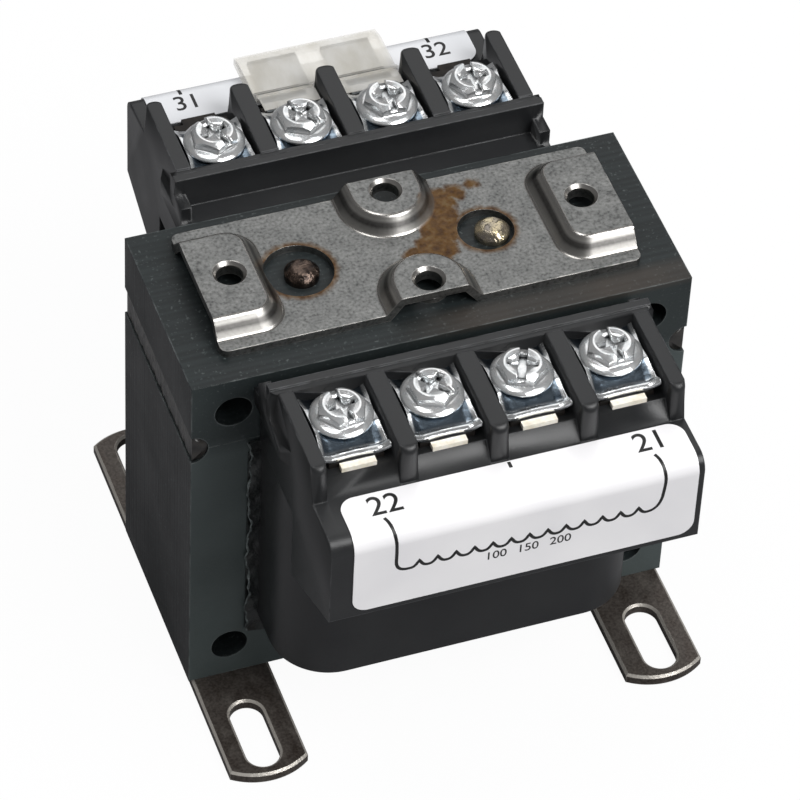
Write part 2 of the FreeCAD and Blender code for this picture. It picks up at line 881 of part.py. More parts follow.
def terminal_block(label, placement):
    """Moulded block on the coil: four open cells between barriers, and a nose below them."""
    body = new_body(label, placement)
    skirt = cover_far
    bend = s.nose_round
    outline = [
        (-cover_near, coil_top),
        (-cover_near, shelf_level),
        (-wall_near, shelf_level),
        (-wall_near, block_top),
        (s.barrier_round - barrier_end, block_top),
        (
            -barrier_end,
            block_top - s.barrier_round,
            s.barrier_round - barrier_end,
            block_top - s.barrier_round,
            1,
        ),
        (-barrier_end, ledge_level),
        (bend - nose_far, ledge_level),
        (-nose_far, ledge_level - bend, bend - nose_far, ledge_level - bend, 1),
        (-nose_far, nose_low),
        (-skirt, nose_low - s.nose_undercut),
        (-skirt, coil_top),
    ]
    section = loops_sketch(body, label + "_section", "YZ_Plane", 0, outline)
    add_pad(body, section, s.block_half_width * 2, middle=True)
    wall = box(-s.back_wall_half_width, -cell_near, s.back_wall_half_width, -wall_near)
    wall_sketch = loops_sketch(body, label + "_wall", "XY_Plane", shelf_level, wall)
    add_pad(body, wall_sketch, block_top - shelf_level)
    lug_outer = s.wing_half_width
    lug_inner = lug_outer - s.lug_width
    lugs = loops_sketch(
        body,
        label + "_lugs",
        "XY_Plane",
        shelf_level,
        box(lug_inner, -(wall_near + s.lug_overlap), lug_outer, s.lug_length - wall_near),
        box(-lug_outer, -(wall_near + s.lug_overlap), -lug_inner, s.lug_length - wall_near),
    )
    add_pad(body, lugs, s.lug_height)
    wing_end = cover_near + s.wing_depth
    wings = [
        (-s.wing_half_width, -cover_near),
        (-s.wing_half_width, -wing_end),
        (s.wing_chamfer / 2 - s.wing_half_width, -(wing_end + s.wing_chamfer)),
        (s.wing_half_width - s.wing_chamfer / 2, -(wing_end + s.wing_chamfer)),
        (s.wing_half_width, -wing_end),
        (s.wing_half_width, -cover_near),
    ]
    wing_sketch = loops_sketch(body, label + "_wings", "XY_Plane", shelf_level, wings)
    add_pad(body, wing_sketch, s.wing_thick, down=True)
    above = block_top + 1
    beyond = nose_far + 1
    cell = [
        (-cell_near, above),
        (-cell_near, floor_level),
        (-floor_end, floor_level),
        (-barrier_end, ledge_level),
        (-beyond, ledge_level),
        (-beyond, above),
    ]
    cell_sketch = loops_sketch(body, label + "_cell", "YZ_Plane", cell_places[0], cell)
    cut = add_pocket(body, cell_sketch, s.cell_width, middle=True)
    repeat_along_x(body, [cut], s.cell_pitch, CELLS)
    step = [
        (-cell_near, above),
        (-cell_near, block_top - s.wall_step),
        (s.wall_step_width - cell_near, block_top - s.wall_step),
        (s.wall_step_width - cell_near, above),
    ]
    step_sketch = loops_sketch(body, label + "_wall_step", "YZ_Plane", 0, step)
    add_pocket(body, step_sketch, s.back_wall_half_width * 3, middle=True)
    first = cell_places[0]
    screw_hole = (first, -screw_at, s.screw_hole_dia / 2)
    hole = circles_sketch(body, label + "_hole", "XY_Plane", floor_level, screw_hole)
    cut = add_pocket(body, hole, s.screw_hole_depth)
    repeat_along_x(body, [cut], s.cell_pitch, CELLS)
    half_slot = s.tail_slot_width / 2
    slot = box(
        first - half_slot,
        -(core_face + s.tail_slot_far),
        first + half_slot,
        -(core_face + s.tail_slot_near),
    )
    cut = add_pocket(body, loops_sketch(body, label + "_tail_slot", "XY_Plane", floor_level, slot))
    repeat_along_x(body, [cut], s.cell_pitch, CELLS)
    return keep(body)


def terminal_plate(label, placement, across):
    """Tinned plate on the floor of a cell, with a tongue to the front and a tail to the coil."""
    body = new_body(label, placement)
    half = s.tab_width / 2
    tongue = s.tongue_width / 2
    back = -(core_face + s.tab_back_reach)
    shoulder = -(core_face + s.tab_shoulder_reach)
    tip = -(core_face + s.tongue_reach)
    outline = [
        (across - half, back),
        (across - half, shoulder),
        (across - tongue, shoulder),
        (across - tongue, tip),
        (across + tongue, tip),
        (across + tongue, shoulder),
        (across + half, shoulder),
        (across + half, back),
    ]
    add_pad(body, loops_sketch(body, label + "_outline", "XY_Plane", floor_level, outline), s.tab_thick)
    tail = box(across - s.tail_width / 2, back - s.tab_thick, across + s.tail_width / 2, back)
    tail_sketch = loops_sketch(body, label + "_tail", "XY_Plane", floor_level + s.tab_thick, tail)
    add_pad(body, tail_sketch, s.tail_length, down=True)
    hole = circles_sketch(
        body, label + "_hole", "XY_Plane", floor_level + s.tab_thick, (across, -screw_at, s.tab_hole_dia / 2)
    )
    add_pocket(body, hole, s.tab_thick)
    return keep(body)


def saddle_clamp(label, placement, across):
    """Pressed plate under a screw head. Its four sides slope down to a lip round the edge."""
    body = new_body(label, placement)
    low = floor_level + s.tab_thick
    bend = low + s.clamp_lip
    high = bend + s.clamp_slope
    half = s.clamp_width / 2
    deep = s.clamp_depth / 2
    top_half = s.clamp_top_width / 2
    top_deep = s.clamp_top_depth / 2

    def square(half_x, half_y):
        return box(across - half_x, -screw_at - half_y, across + half_x, half_y - screw_at)

    def sketch(name, level, half_x, half_y):
        return loops_sketch(body, f"{label}_{name}", "XY_Plane", level, square(half_x, half_y))

    add_pad(body, sketch("lip", low, half, deep), s.clamp_lip)
    edge = sketch("edge", bend, half, deep)
    crown = sketch("crown", high, top_half, top_deep)
    add_loft(body, "AdditiveLoft", edge, crown)
    thin = s.clamp_sheet
    add_pocket(body, sketch("inner_lip", low, half - thin, deep - thin), s.clamp_lip, up=True)
    add_loft(
        body,
        "SubtractiveLoft",
        sketch("inner_edge", bend - 0.01, half - thin, deep - thin),
        sketch("inner_crown", high - thin, top_half - thin / 2, top_deep - thin / 2),
    )
    hole = circles_sketch(body, label + "_hole", "XY_Plane", high, (across, -screw_at, s.clamp_hole_dia / 2))
    add_pocket(body, hole)
    return keep(body)


def screw(label, across, along, turn):
    """Zinc-plated hex washer head screw with a cross and slot drive."""
    body = new_body(label)
    body.Placement = Placement(Vector(), Rotation(Vector(0, 0, 1), turn))
    seat = floor_level + s.tab_thick + s.clamp_lip + s.clamp_slope
    bind(body, "Placement.Base.x", across)
    bind(body, "Placement.Base.y", along)
    bind(body, "Placement.Base.z", seat)
    shank = s.shank_dia / 2
    head_top = s.flange_thick + s.hex_height
    hex_inside = s.hex_across / 2
    profile = [
        (0, -s.shank_length),
        (shank, -s.shank_length),
        (shank, 0),
        (s.flange_dia / 2, 0),
        (s.flange_dia / 2, s.flange_thick / 2),
        (hex_inside, s.flange_thick),
        (hex_inside, head_top - s.hex_crown),
        (hex_inside - s.hex_crown, head_top),
        (0, head_top),
    ]
    add_revolution(body, loops_sketch(body, label + "_profile", "XZ_Plane", 0, profile))
    corner = s.hex_across / math.sqrt(3)
    angles = [math.radians(60 * step) for step in range(6)]
    hexagon = [(corner * math.cos(angle), corner * math.sin(angle)) for angle in angles]
    hex_sketch = loops_sketch(body, label + "_hex", "XY_Plane", s.flange_thick / 2, hexagon)
    add_pad(body, hex_sketch, s.flange_thick / 2 + s.hex_height - s.hex_crown)
    reach = s.hex_across
    half_slot = s.slot_cut_width / 2
    slot_box = box(-half_slot, -reach, half_slot, reach)
    slot = loops_sketch(body, label + "_slot", "XY_Plane", head_top, slot_box)
    add_pocket(body, slot, s.slot_cut_depth)
    cross_x = s.cross_length / 2
    cross_y = s.cross_width / 2
    cross = [
        (-cross_x, -cross_y),
        (-cross_y, -cross_y),
        (-cross_y, -cross_x),
        (cross_y, -cross_x),
        (cross_y, -cross_y),
        (cross_x, -cross_y),
        (cross_x, cross_y),
        (cross_y, cross_y),
        (cross_y, cross_x),
        (-cross_y, cross_x),
        (-cross_y, cross_y),
        (-cross_x, cross_y),
    ]
    add_pocket(body, loops_sketch(body, label + "_cross", "XY_Plane", head_top, cross), s.cross_depth)
    return body


def screw_row(label, way, turns):
    """The four screws of one block, kept together as one group of separate solids."""
    screws = [
        screw(f"{label}_{number}", -way * place, way * screw_at, turn)
        for number, (place, turn) in enumerate(zip(cell_places, turns), start=1)
    ]
    group = document.addObject("Part::Compound", label)
    group.Label = label
    group.Links = screws
    document.recompute()
    return keep(group)


def lead_wire(label, way, across):
    """Lead from the coil, soldered to the tail of a terminal plate."""
    wire = document.addObject("Part::Cylinder", label)
    wire.Label = label
    bind(wire, "Radius", s.lead_dia / 2)
    bind(wire, "Height", floor_level - s.lead_top_drop - winding_high)
    bind(wire, "Placement.Base.x", -way * across)
    bind(wire, "Placement.Base.y", way * (core_face + s.lead_reach))
    bind(wire, "Placement.Base.z", winding_high)
    document.recompute()
    return keep(wire)


# Labels and sleeve


def nose_label(label, placement, shift):
    """Glossy label that wraps over the rounded edge of the nose."""
    body = new_body(label, placement)
    start = -(core_face + s.label_start_reach)
    centre_y = s.nose_round - nose_far
    centre_z = ledge_level - s.nose_round
    under = s.label_glue
    over = s.label_glue + s.label_thick
    low = ledge_level - s.label_low
    outline = [
        (start, ledge_level + under),
        (start, ledge_level + over),
        (centre_y, ledge_level + over),
        (-nose_far - over, centre_z, centre_y, centre_z, 1),
        (-nose_far - over, low),
        (-nose_far - under, low),
        (-nose_far - under, centre_z),
        (centre_y, ledge_level + under, centre_y, centre_z, -1),
    ]
    sketch = loops_sketch(body, label + "_section", "YZ_Plane", shift, outline)
    add_pad(body, sketch, s.label_width, middle=True)
    thick = s.label_thick.number

    def is_label_corner(first, middle, last):
        at_end = near(middle.y, start.number) or near(middle.z, low.number)
        return near(first.distanceToPoint(last), thick) and at_end

    add_fillet(body, label + "_corners", s.label_corner, is_label_corner)
    return keep(body)


def sleeve_section(inset):
    """Section of the folded sleeve, which climbs from the nose onto the front of the cells."""
    base = ledge_level + s.label_glue + s.label_thick + s.sleeve_seat + inset
    near_end = core_face + s.sleeve_near_reach + inset
    bend = core_face + s.sleeve_bend_reach
    far = core_face + s.sleeve_far_reach - inset
    tall = s.sleeve_thick - inset * 2
    return [
        (-near_end, base + s.sleeve_lift),
        (-bend, base),
        (-far, base),
        (-far, base + tall * 0.6),
        (s.sleeve_slope_length - far, base + tall),
        (-bend, base + tall),
        (-near_end, base + s.sleeve_lift + tall * 0.7),
    ]


def jumper_sleeve():
    """Clear film folded round two jumper links and stuck to the rear nose."""
    body = new_body("jumper_sleeve", REAR)
    for kind, inset in (("outside", as_size(0)), ("inside", s.sleeve_film)):
        sketch = loops_sketch(body, "sleeve_" + kind, "YZ_Plane", s.sleeve_shift, sleeve_section(inset))
        width = s.sleeve_width - inset * 2
        if kind == "outside":
            add_pad(body, sketch, width, middle=True)
        else:
            add_pocket(body, sketch, width, middle=True)
    notch_end = core_face + s.sleeve_notch_reach
    half = s.sleeve_notch / 2
    notch = box(-half, -notch_end, half, -core_face)
    sketch = loops_sketch(body, "sleeve_notch", "XY_Plane", block_top, notch)
    add_pocket(body, sketch)
    return keep(body)


def jumper_link(label, side):
    """Flat steel link that joins two terminals."""
    body = new_body(label, REAR)
    sleeve_base = ledge_level + s.label_glue + s.label_thick + s.sleeve_seat
    base = sleeve_base + s.sleeve_film + s.link_gap
    middle = s.sleeve_shift + side * s.link_pitch / 2
    half = s.link_width / 2
    low = -(core_face + s.link_reach + s.link_length)
    high = -(core_face + s.link_reach)
    outline = box(middle - half, low, middle + half, high)
    sketch = loops_sketch(body, label + "_outline", "XY_Plane", base, outline)
    add_pad(body, sketch, s.link_thick)
    return keep(body)


# Assembly
e_stack()
i_stack()
joint_weld("left_joint_weld", -1)
joint_weld("right_joint_weld", 1)
foot("left_foot", -1)
foot("right_foot", 1)
top_plate()
plate_weld("left_plate_weld", s.nugget_shift / 2 - s.left_weld_at)
plate_weld("right_plate_weld", s.right_weld_at + s.nugget_shift)
bobbin()
layer_start = s.winding_gap
coil_layer("secondary_winding", layer_start, s.secondary_build)
layer_start = layer_start + s.secondary_build + s.winding_gap
coil_layer("winding_paper", layer_start, s.paper_build)
layer_start = layer_start + s.paper_build + s.winding_gap
coil_layer("primary_winding", layer_start, s.primary_build)
layer_start = layer_start + s.primary_build + s.winding_gap
coil_layer("coil_wrap", layer_start, s.wrap_build)
window_liner("left_window_liner", -1)
window_liner("right_window_liner", 1)
for end, placement, way in (("front", FRONT, -1), ("rear", REAR, 1)):
    coil_cover(f"{end}_coil_cover", placement)
    terminal_block(f"{end}_terminal_block", placement)
    for number, place in enumerate(cell_places, start=1):
        terminal_plate(f"{end}_terminal_plate_{number}", placement, place)
        saddle_clamp(f"{end}_saddle_clamp_{number}", placement, place)
        lead_wire(f"{end}_lead_wire_{number}", way, place)
    screw_row(f"{end}_terminal_screws", way, SCREW_TURNS[end])
nose_label("front_label", FRONT, s.label_shift)
nose_label("rear_label", REAR, as_size(0))
jumper_sleeve()
jumper_link("jumper_link_1", -1)
jumper_link("jumper_link_2", 1)

# Checks and export
document.recompute()
for item in document.Objects:
    if "Invalid" in item.State or "Error" in item.State:
        sys.exit(f"{item.Label} did not build")
os.makedirs("parts", exist_ok=True)
for piece in nodes:
    shape = piece.Shape
    if shape.isNull() or not shape.isValid() or not shape.Solids:
        sys.exit(f"{piece.Label} is not a valid solid")
    shape.exportStep(f"parts/{piece.Label}.step")
    print(f"{piece.Label}: {len(shape.Solids)} solid(s), {shape.Volume:.1f} mm3")
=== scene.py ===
# Laminated chassis transformer: welded core on slotted feet, stamped plate on top, and a
# moulded terminal block at the front and rear of the coil. Metres; +Z is up.
import math

import bmesh
import bpy
from mathutils import Matrix, Vector


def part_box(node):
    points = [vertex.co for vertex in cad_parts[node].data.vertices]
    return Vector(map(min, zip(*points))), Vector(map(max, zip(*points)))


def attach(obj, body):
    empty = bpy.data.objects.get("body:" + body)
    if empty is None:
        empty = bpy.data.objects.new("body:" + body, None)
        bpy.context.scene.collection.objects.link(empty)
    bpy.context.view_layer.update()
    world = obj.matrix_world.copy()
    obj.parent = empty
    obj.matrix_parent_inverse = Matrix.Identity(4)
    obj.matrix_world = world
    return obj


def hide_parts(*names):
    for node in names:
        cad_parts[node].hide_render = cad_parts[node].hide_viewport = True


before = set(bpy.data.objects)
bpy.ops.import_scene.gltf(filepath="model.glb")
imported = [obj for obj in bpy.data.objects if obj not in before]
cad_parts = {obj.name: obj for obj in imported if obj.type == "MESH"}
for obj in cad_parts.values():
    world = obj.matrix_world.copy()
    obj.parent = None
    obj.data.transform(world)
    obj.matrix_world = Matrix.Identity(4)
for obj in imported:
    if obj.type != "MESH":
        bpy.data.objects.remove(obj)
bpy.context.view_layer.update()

MM = 0.001


# Camera
# A long lens looks down on the front left corner of the part. Its aim is given across and up
# the picture from the middle of the core's underside.
AZIMUTH, ELEVATION, ROLL = (math.radians(angle) for angle in (-21.5887, 46.5076, 3.116))
DISTANCE = 772.17 * MM
AIM_RIGHT = 1.183 * MM
AIM_UP = 22.99 * MM
FOOT_THICK = 1.7 * MM
SENSOR = 36.0
LENS = 224.95


def put(name, data):
    """A new object in the scene."""
    made = bpy.data.objects.new(name, data)
    bpy.context.collection.objects.link(made)
    return made


back = Vector((
    math.sin(AZIMUTH) * math.cos(ELEVATION),
    -math.cos(AZIMUTH) * math.cos(ELEVATION),
    math.sin(ELEVATION),
))
level_right = (-back).cross(Vector((0, 0, 1))).normalized()
level_up = level_right.cross(-back)
right = level_right * math.cos(ROLL) + level_up * math.sin(ROLL)
up = level_up * math.cos(ROLL) - level_right * math.sin(ROLL)
stand = right * AIM_RIGHT + up * AIM_UP + back * DISTANCE + Vector((0, 0, FOOT_THICK))
camera = put("camera", bpy.data.cameras.new("camera"))
camera.data.sensor_width = SENSOR
camera.data.lens = LENS
camera.matrix_world = Matrix((
    (right.x, up.x, back.x, stand.x),
    (right.y, up.y, back.y, stand.y),
    (right.z, up.z, back.z, stand.z),
    (0, 0, 0, 1),
))
scene = bpy.context.scene
scene.camera = camera
scene.view_settings.view_transform = "Standard"


# Studio
# A pale table under three large soft boxes in a white room. The room is dimmed for the light
# that falls on the part, so that black mouldings stay black.
ROOM_LIGHT = 0.55
ROOM_MIRRORED = 0.135
TABLE_SIZE = 6.0
TABLE_WHITE = 0.86
TABLE_GLOW = 1.11
LAMP_AIM = Vector((0, 0, 40 * MM))
LAMPS = {
    "key_box": {"place": (0.4, -0.6, 0.85), "size": 0.6, "watts": 8.5},
    "rear_box": {"place": (0.3, 0.75, 0.85), "size": 0.8, "watts": 1.9},
    "top_box": {"place": (-0.25, 0.05, 1.15), "size": 0.4, "watts": 2.2},
}


def linear(code):
    """A linear colour from an sRGB hex code."""
    shares = [int(code[place:place + 2], 16) / 255 for place in (1, 3, 5)]
    return tuple(
        share / 12.92 if share <= 0.04045 else ((share + 0.055) / 1.055) ** 2.4 for share in shares
    ) + (1,)


def add(tree, kind, links=(), **settings):
    """Adds a node with its settings. A link's value is a socket to join or a plain value."""
    node = tree.nodes.new(kind)
    for name, value in settings.items():
        setattr(node, name, value)
    for name, value in dict(links).items():
        if isinstance(value, bpy.types.NodeSocket):
            tree.links.new(value, node.inputs[name])
        else:
            node.inputs[name].default_value = value
    return node


def combine(tree, first, second, operation):
    return add(tree, "ShaderNodeMath", {0: first, 1: second}, operation=operation).outputs[0]


def empty_tree(owner):
    owner.use_nodes = True
    owner.node_tree.nodes.clear()
    return owner.node_tree


world = bpy.data.worlds.new("white_room")
scene.world = world
tree = empty_tree(world)
path = add(tree, "ShaderNodeLightPath")
seen = combine(tree, path.outputs["Is Camera Ray"], path.outputs["Is Transmission Ray"], "MAXIMUM")
dimmed = add(
    tree,
    "ShaderNodeMapRange",
    {"Value": path.outputs["Is Glossy Ray"], "To Min": ROOM_LIGHT, "To Max": ROOM_MIRRORED},
)
strength = combine(tree, seen, dimmed.outputs[0], "MAXIMUM")
room = add(tree, "ShaderNodeBackground", {"Color": (1, 1, 1, 1), "Strength": strength})
add(tree, "ShaderNodeOutputWorld", {"Surface": room.outputs[0]})

table_mesh = bpy.data.meshes.new("table_top")
half = TABLE_SIZE / 2
corners = ((-half, -half, 0), (half, -half, 0), (half, half, 0), (-half, half, 0))
table_mesh.from_pydata(corners, [], [(0, 1, 2, 3)])
table_top = put("table_top", table_mesh)
pale = bpy.data.materials.new("pale_paper")
tree = empty_tree(pale)
path = add(tree, "ShaderNodeLightPath")
share = combine(tree, path.outputs["Is Camera Ray"], TABLE_WHITE, "MULTIPLY")
paper = add(tree, "ShaderNodeBsdfDiffuse", {"Color": linear("#8e8e90")})
white = add(tree, "ShaderNodeEmission", {"Color": (1, 1, 1, 1), "Strength": TABLE_GLOW})
mix = add(tree, "ShaderNodeMixShader", {0: share, 1: paper.outputs[0], 2: white.outputs[0]})
add(tree, "ShaderNodeOutputMaterial", {"Surface": mix.outputs[0]})
table_mesh.materials.append(pale)

for name, box in LAMPS.items():
    lamp = put(name, bpy.data.lights.new(name, "AREA"))
    lamp.data.size = box["size"]
    lamp.data.energy = box["watts"]
    lamp.location = box["place"]
    lamp.rotation_euler = (Vector(box["place"]) - LAMP_AIM).to_track_quat("Z", "Y").to_euler()


# Lamination stacks
# Silicon steel sheets, punched, stacked and dipped in varnish. The sheet edges show as fine
# lines on the top and sides, drawn a little coarser than the 0.5 mm sheets so that they can be
# seen. The coat is green-black and worn at its edges. Light and shade are painted into it: the
# faces that look front and back are lighter, the leg faces lighter still below the joint, and
# the sides darker.
SHEET = 0.7 * MM
COAT_ROUGHNESS = 0.42
LEG_TOP = 52.0 * MM
CORE_TOP = 65.0 * MM


def new_material(name, colour, roughness, **sockets):
    """A material with its shader. What is even all over the surface is set on the shader."""
    material = bpy.data.materials.new(name)
    tree = empty_tree(material)
    values = {"Base Color": linear(colour), "Roughness": roughness, **sockets}
    shader = add(tree, "ShaderNodeBsdfPrincipled", values)
    add(tree, "ShaderNodeOutputMaterial", {"Surface": shader.outputs[0]})
    return material, tree, shader


def noise(tree, size, detail=2.0, stretch=(1, 1, 1)):
    """Noise with grains of a real size, longer along the axes whose stretch is larger."""
    place = add(tree, "ShaderNodeTexCoord").outputs["Object"]
    scale = tuple(1 / (size * value) for value in stretch)
    placed = add(tree, "ShaderNodeMapping", {"Vector": place, "Scale": scale})
    grains = add(tree, "ShaderNodeTexNoise", {"Vector": placed.outputs[0], "Scale": 1.0, "Detail": detail})
    return grains.outputs["Fac"]


def ramp(tree, factor, *stops):
    """A colour ramp from (position, hex colour or grey level) stops."""
    node = add(tree, "ShaderNodeValToRGB", {"Fac": factor})
    elements = node.color_ramp.elements
    while len(elements) < len(stops):
        elements.new(0.5)
    for element, (position, colour) in zip(elements, stops):
        element.position = position
        element.color = linear(colour) if isinstance(colour, str) else (colour, colour, colour, 1)
    return node.outputs["Color"]


def blend(tree, factor, first, second, kind="MIX"):
    node = add(tree, "ShaderNodeMix", data_type="RGBA", blend_type=kind)
    for index, value in ((0, factor), (6, first), (7, second)):
        if isinstance(value, bpy.types.NodeSocket):
            tree.links.new(value, node.inputs[index])
        else:
            node.inputs[index].default_value = value
    return node.outputs[2]


def bump(tree, shader, height, depth, strength=1.0, round_edges=0.0):
    """Relief of a real depth on a surface, whose sharp edges may be broken as well."""
    links = {"Height": height, "Distance": depth, "Strength": strength}
    if round_edges:
        links["Normal"] = add(tree, "ShaderNodeBevel", {"Radius": round_edges}, samples=4).outputs[0]
    node = add(tree, "ShaderNodeBump", links)
    tree.links.new(node.outputs[0], shader.inputs["Normal"])


def dress(material, *names):
    """Gives CAD nodes their finish."""
    for name in names:
        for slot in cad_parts[name].material_slots:
            slot.material = material


def facing(tree, name):
    """How far a face looks along an axis. For Z it is 1 on a flat top and 0 on a wall."""
    normal = add(tree, "ShaderNodeNewGeometry").outputs["Normal"]
    return add(tree, "ShaderNodeSeparateXYZ", {"Vector": normal}).outputs[name]


def axis(tree, name):
    """One coordinate of the place in the part, in metres."""
    place = add(tree, "ShaderNodeTexCoord").outputs["Object"]
    return add(tree, "ShaderNodeSeparateXYZ", {"Vector": place}).outputs[name]


def between(tree, value, start, end):
    """Runs from 0 to 1 as a value goes from start to end."""
    ends = {"Value": value, "From Min": start, "From Max": end}
    return add(tree, "ShaderNodeMapRange", ends, clamp=True).outputs["Result"]


def edge_wear_and_sheen(tree, radius, patchy=3 * MM):
    """Close to sharp edges and more in some places than others: rubbed coat, on plate and zinc painted
    highlight too.
    """
    broken = add(tree, "ShaderNodeBevel", {"Radius": radius}, samples=6).outputs[0]
    flat = add(tree, "ShaderNodeNewGeometry").outputs["Normal"]
    agree = add(tree, "ShaderNodeVectorMath", {0: broken, 1: flat}, operation="DOT_PRODUCT")
    edge = between(tree, agree.outputs["Value"], 0.995, 0.9)
    return combine(tree, edge, between(tree, noise(tree, patchy, 5.0), 0.35, 0.65), "MULTIPLY")


core_steel, tree, shader = new_material("varnished_lamination_steel", "#24292a", COAT_ROUGHNESS)
shader.inputs["Specular IOR Level"].default_value = 0.3
plies = noise(tree, SHEET, 0.0, (500, 1, 500))
dirt = noise(tree, 0.5 * MM, 3.0)
clouds = noise(tree, 14 * MM, 3.0)
coat = blend(
    tree,
    0.5,
    ramp(tree, plies, (0.35, "#1a1e1f"), (0.5, "#1f2425"), (0.7, "#282e2f")),
    ramp(tree, clouds, (0.3, "#1a1e1f"), (0.7, "#282e2f")),
)
# Painted light and shade: front and back faces lighter, leg faces below the joint lighter still, sides
# darker.
lit_broad_faces = between(tree, combine(tree, facing(tree, "Y"), 0.0, "ABSOLUTE"), 0.7, 0.9)
coat = blend(tree, lit_broad_faces, coat, ramp(tree, clouds, (0.3, "#262c2d"), (0.7, "#333a3a")))
below = between(tree, axis(tree, "Z"), LEG_TOP + 2 * MM, LEG_TOP - 2 * MM)
lit_leg_colour = ramp(tree, clouds, (0.3, "#424a4a"), (0.7, "#4e5656"))
coat = blend(tree, combine(tree, lit_broad_faces, below, "MULTIPLY"), coat, lit_leg_colour)
shaded_sides = between(tree, combine(tree, facing(tree, "X"), 0.0, "ABSOLUTE"), 0.7, 0.9)
coat = blend(tree, combine(tree, shaded_sides, 0.5, "MULTIPLY"), coat, linear("#0c090c"))
coat = blend(tree, between(tree, dirt, 0.62, 0.75), coat, linear("#4a5050"))
smear = combine(tree, clouds, 0.6, "MULTIPLY")
for name, start, end in (
    ("Y", -11.0 * MM, -13.0 * MM),
    ("X", -8.0 * MM, 4.0 * MM),
    ("Z", CORE_TOP - 1.0 * MM, CORE_TOP),
):
    smear = combine(tree, smear, between(tree, axis(tree, name), start, end), "MULTIPLY")
coat = blend(tree, smear, coat, linear("#51443a"))
coat = blend(tree, combine(tree, edge_wear_and_sheen(tree, 0.35 * MM), 0.7, "MULTIPLY"), coat, linear("#7a8080"))
tree.links.new(coat, shader.inputs["Base Color"])
tree.links.new(ramp(tree, clouds, (0.3, 0.36), (0.7, 0.5)), shader.inputs["Roughness"])
relief = combine(tree, plies, combine(tree, dirt, 0.6, "MULTIPLY"), "ADD")
bump(tree, shader, relief, 0.05 * MM, 0.8, 0.25 * MM)
dress(core_steel, "e_lamination_stack", "i_lamination_stack")


# Joint welds
# A run of weld in the groove at each side, under the same varnish, so it is black and glossy
# with the ripples of the torch. It fills the groove nearly to the side of the core.
BEAD_RISE = 0.85 * MM
BEAD_WAVE = 0.05 * MM
BEAD_RIPPLE = 0.45 * MM
BEAD_STEP = 0.8 * MM
TINY = 0.01 * MM
BEND_WIDTH = 2.0 * MM
SHARP_ANGLE = math.radians(32)
weld_steel, tree, shader = new_material("varnished_weld_bead", "#242424", 0.3)
ripples = noise(tree, 1.1 * MM, 1.0, (5, 1, 2))
tree.links.new(ramp(tree, ripples, (0.35, "#1c1c1c"), (0.7, "#3d3a37")), shader.inputs["Base Color"])
bump(tree, shader, ripples, 0.35 * MM)


def merged(name):
    """A bmesh of a CAD node's mesh with its seams closed."""
    build = bmesh.new()
    build.from_mesh(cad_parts[name].data)
    bmesh.ops.remove_doubles(build, verts=build.verts, dist=0.001 * MM)
    return build


def slice_at(build, normal, distance):
    """Divides the faces of a bmesh along a plane."""
    everything = build.verts[:] + build.edges[:] + build.faces[:]
    bmesh.ops.bisect_plane(
        build, geom=everything, plane_co=normal * distance, plane_no=normal, dist=0.0005 * MM
    )


def plain_copy(name, source):
    """A plain object of what the source's modifiers make."""
    seen_by = bpy.context.evaluated_depsgraph_get()
    return put(name, bpy.data.meshes.new_from_object(source.evaluated_get(seen_by)))


def drop(*things):
    for thing in things:
        bpy.data.objects.remove(thing)


def link_mesh(name, build):
    """A new object from a bmesh: wide faces are flat, narrow ones belong to smooth bends."""
    mesh = bpy.data.meshes.new(name)
    bmesh.ops.recalc_face_normals(build, faces=build.faces)
    for face in build.faces:
        across = 2 * face.calc_area() / max(edge.calc_length() for edge in face.edges)
        face.smooth = across < BEND_WIDTH
    build.to_mesh(mesh)
    build.free()
    mesh.set_sharp_from_angle(angle=SHARP_ANGLE)
    return put(name, mesh)


for name, side in (("left_joint_weld", -1), ("right_joint_weld", 1)):
    build = merged(name)
    low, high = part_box(name)
    outside = max(abs(low[0]), abs(high[0]))
    for cut in range(int(low[1] / BEAD_STEP), int(high[1] / BEAD_STEP) + 1):
        slice_at(build, Vector((0, 1, 0)), cut * BEAD_STEP)
    for vertex in build.verts:
        if abs(abs(vertex.co.x) - outside) < TINY:
            vertex.co.x += side * (BEAD_RISE + BEAD_WAVE * math.sin(vertex.co.y / BEAD_RIPPLE))
    bead = link_mesh(f"{name}_bead", build)
    bead.data.materials.append(weld_steel)
    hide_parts(name)
    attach(bead, "root")


# Feet
# Hot rolled steel strip, punched and dipped with the core. The thin coat looks brown, and the
# broken edges at the tips and slots are rubbed to bright metal.
EDGE_SLOPE = 0.7071
foot_steel, tree, shader = new_material("dipped_rolled_steel", "#443f3b", 0.38, Metallic=0.6)
scale_marks = noise(tree, 2.0 * MM, 6.0, (1, 2, 1))
grit = noise(tree, 0.4 * MM, 3.0)
coat = blend(
    tree,
    0.4,
    ramp(tree, scale_marks, (0.3, "#40362f"), (0.5, "#544d48"), (0.75, "#6e6862")),
    ramp(tree, grit, (0.35, "#2e2a27"), (0.65, "#69635e")),
)
rubbed = ramp(
    tree,
    facing(tree, "Z"),
    (0.4, 0.0), (EDGE_SLOPE - 0.1, 0.85), (EDGE_SLOPE + 0.1, 0.85), (0.95, 0.0),
)
rubbed = combine(tree, rubbed, edge_wear_and_sheen(tree, 0.3 * MM), "MAXIMUM")
tree.links.new(blend(tree, rubbed, coat, linear("#cdc8c0")), shader.inputs["Base Color"])
tree.links.new(ramp(tree, scale_marks, (0.3, 0.3), (0.7, 0.5)), shader.inputs["Roughness"])
bump(tree, shader, grit, 0.05 * MM)
dress(foot_steel, "left_foot", "right_foot")
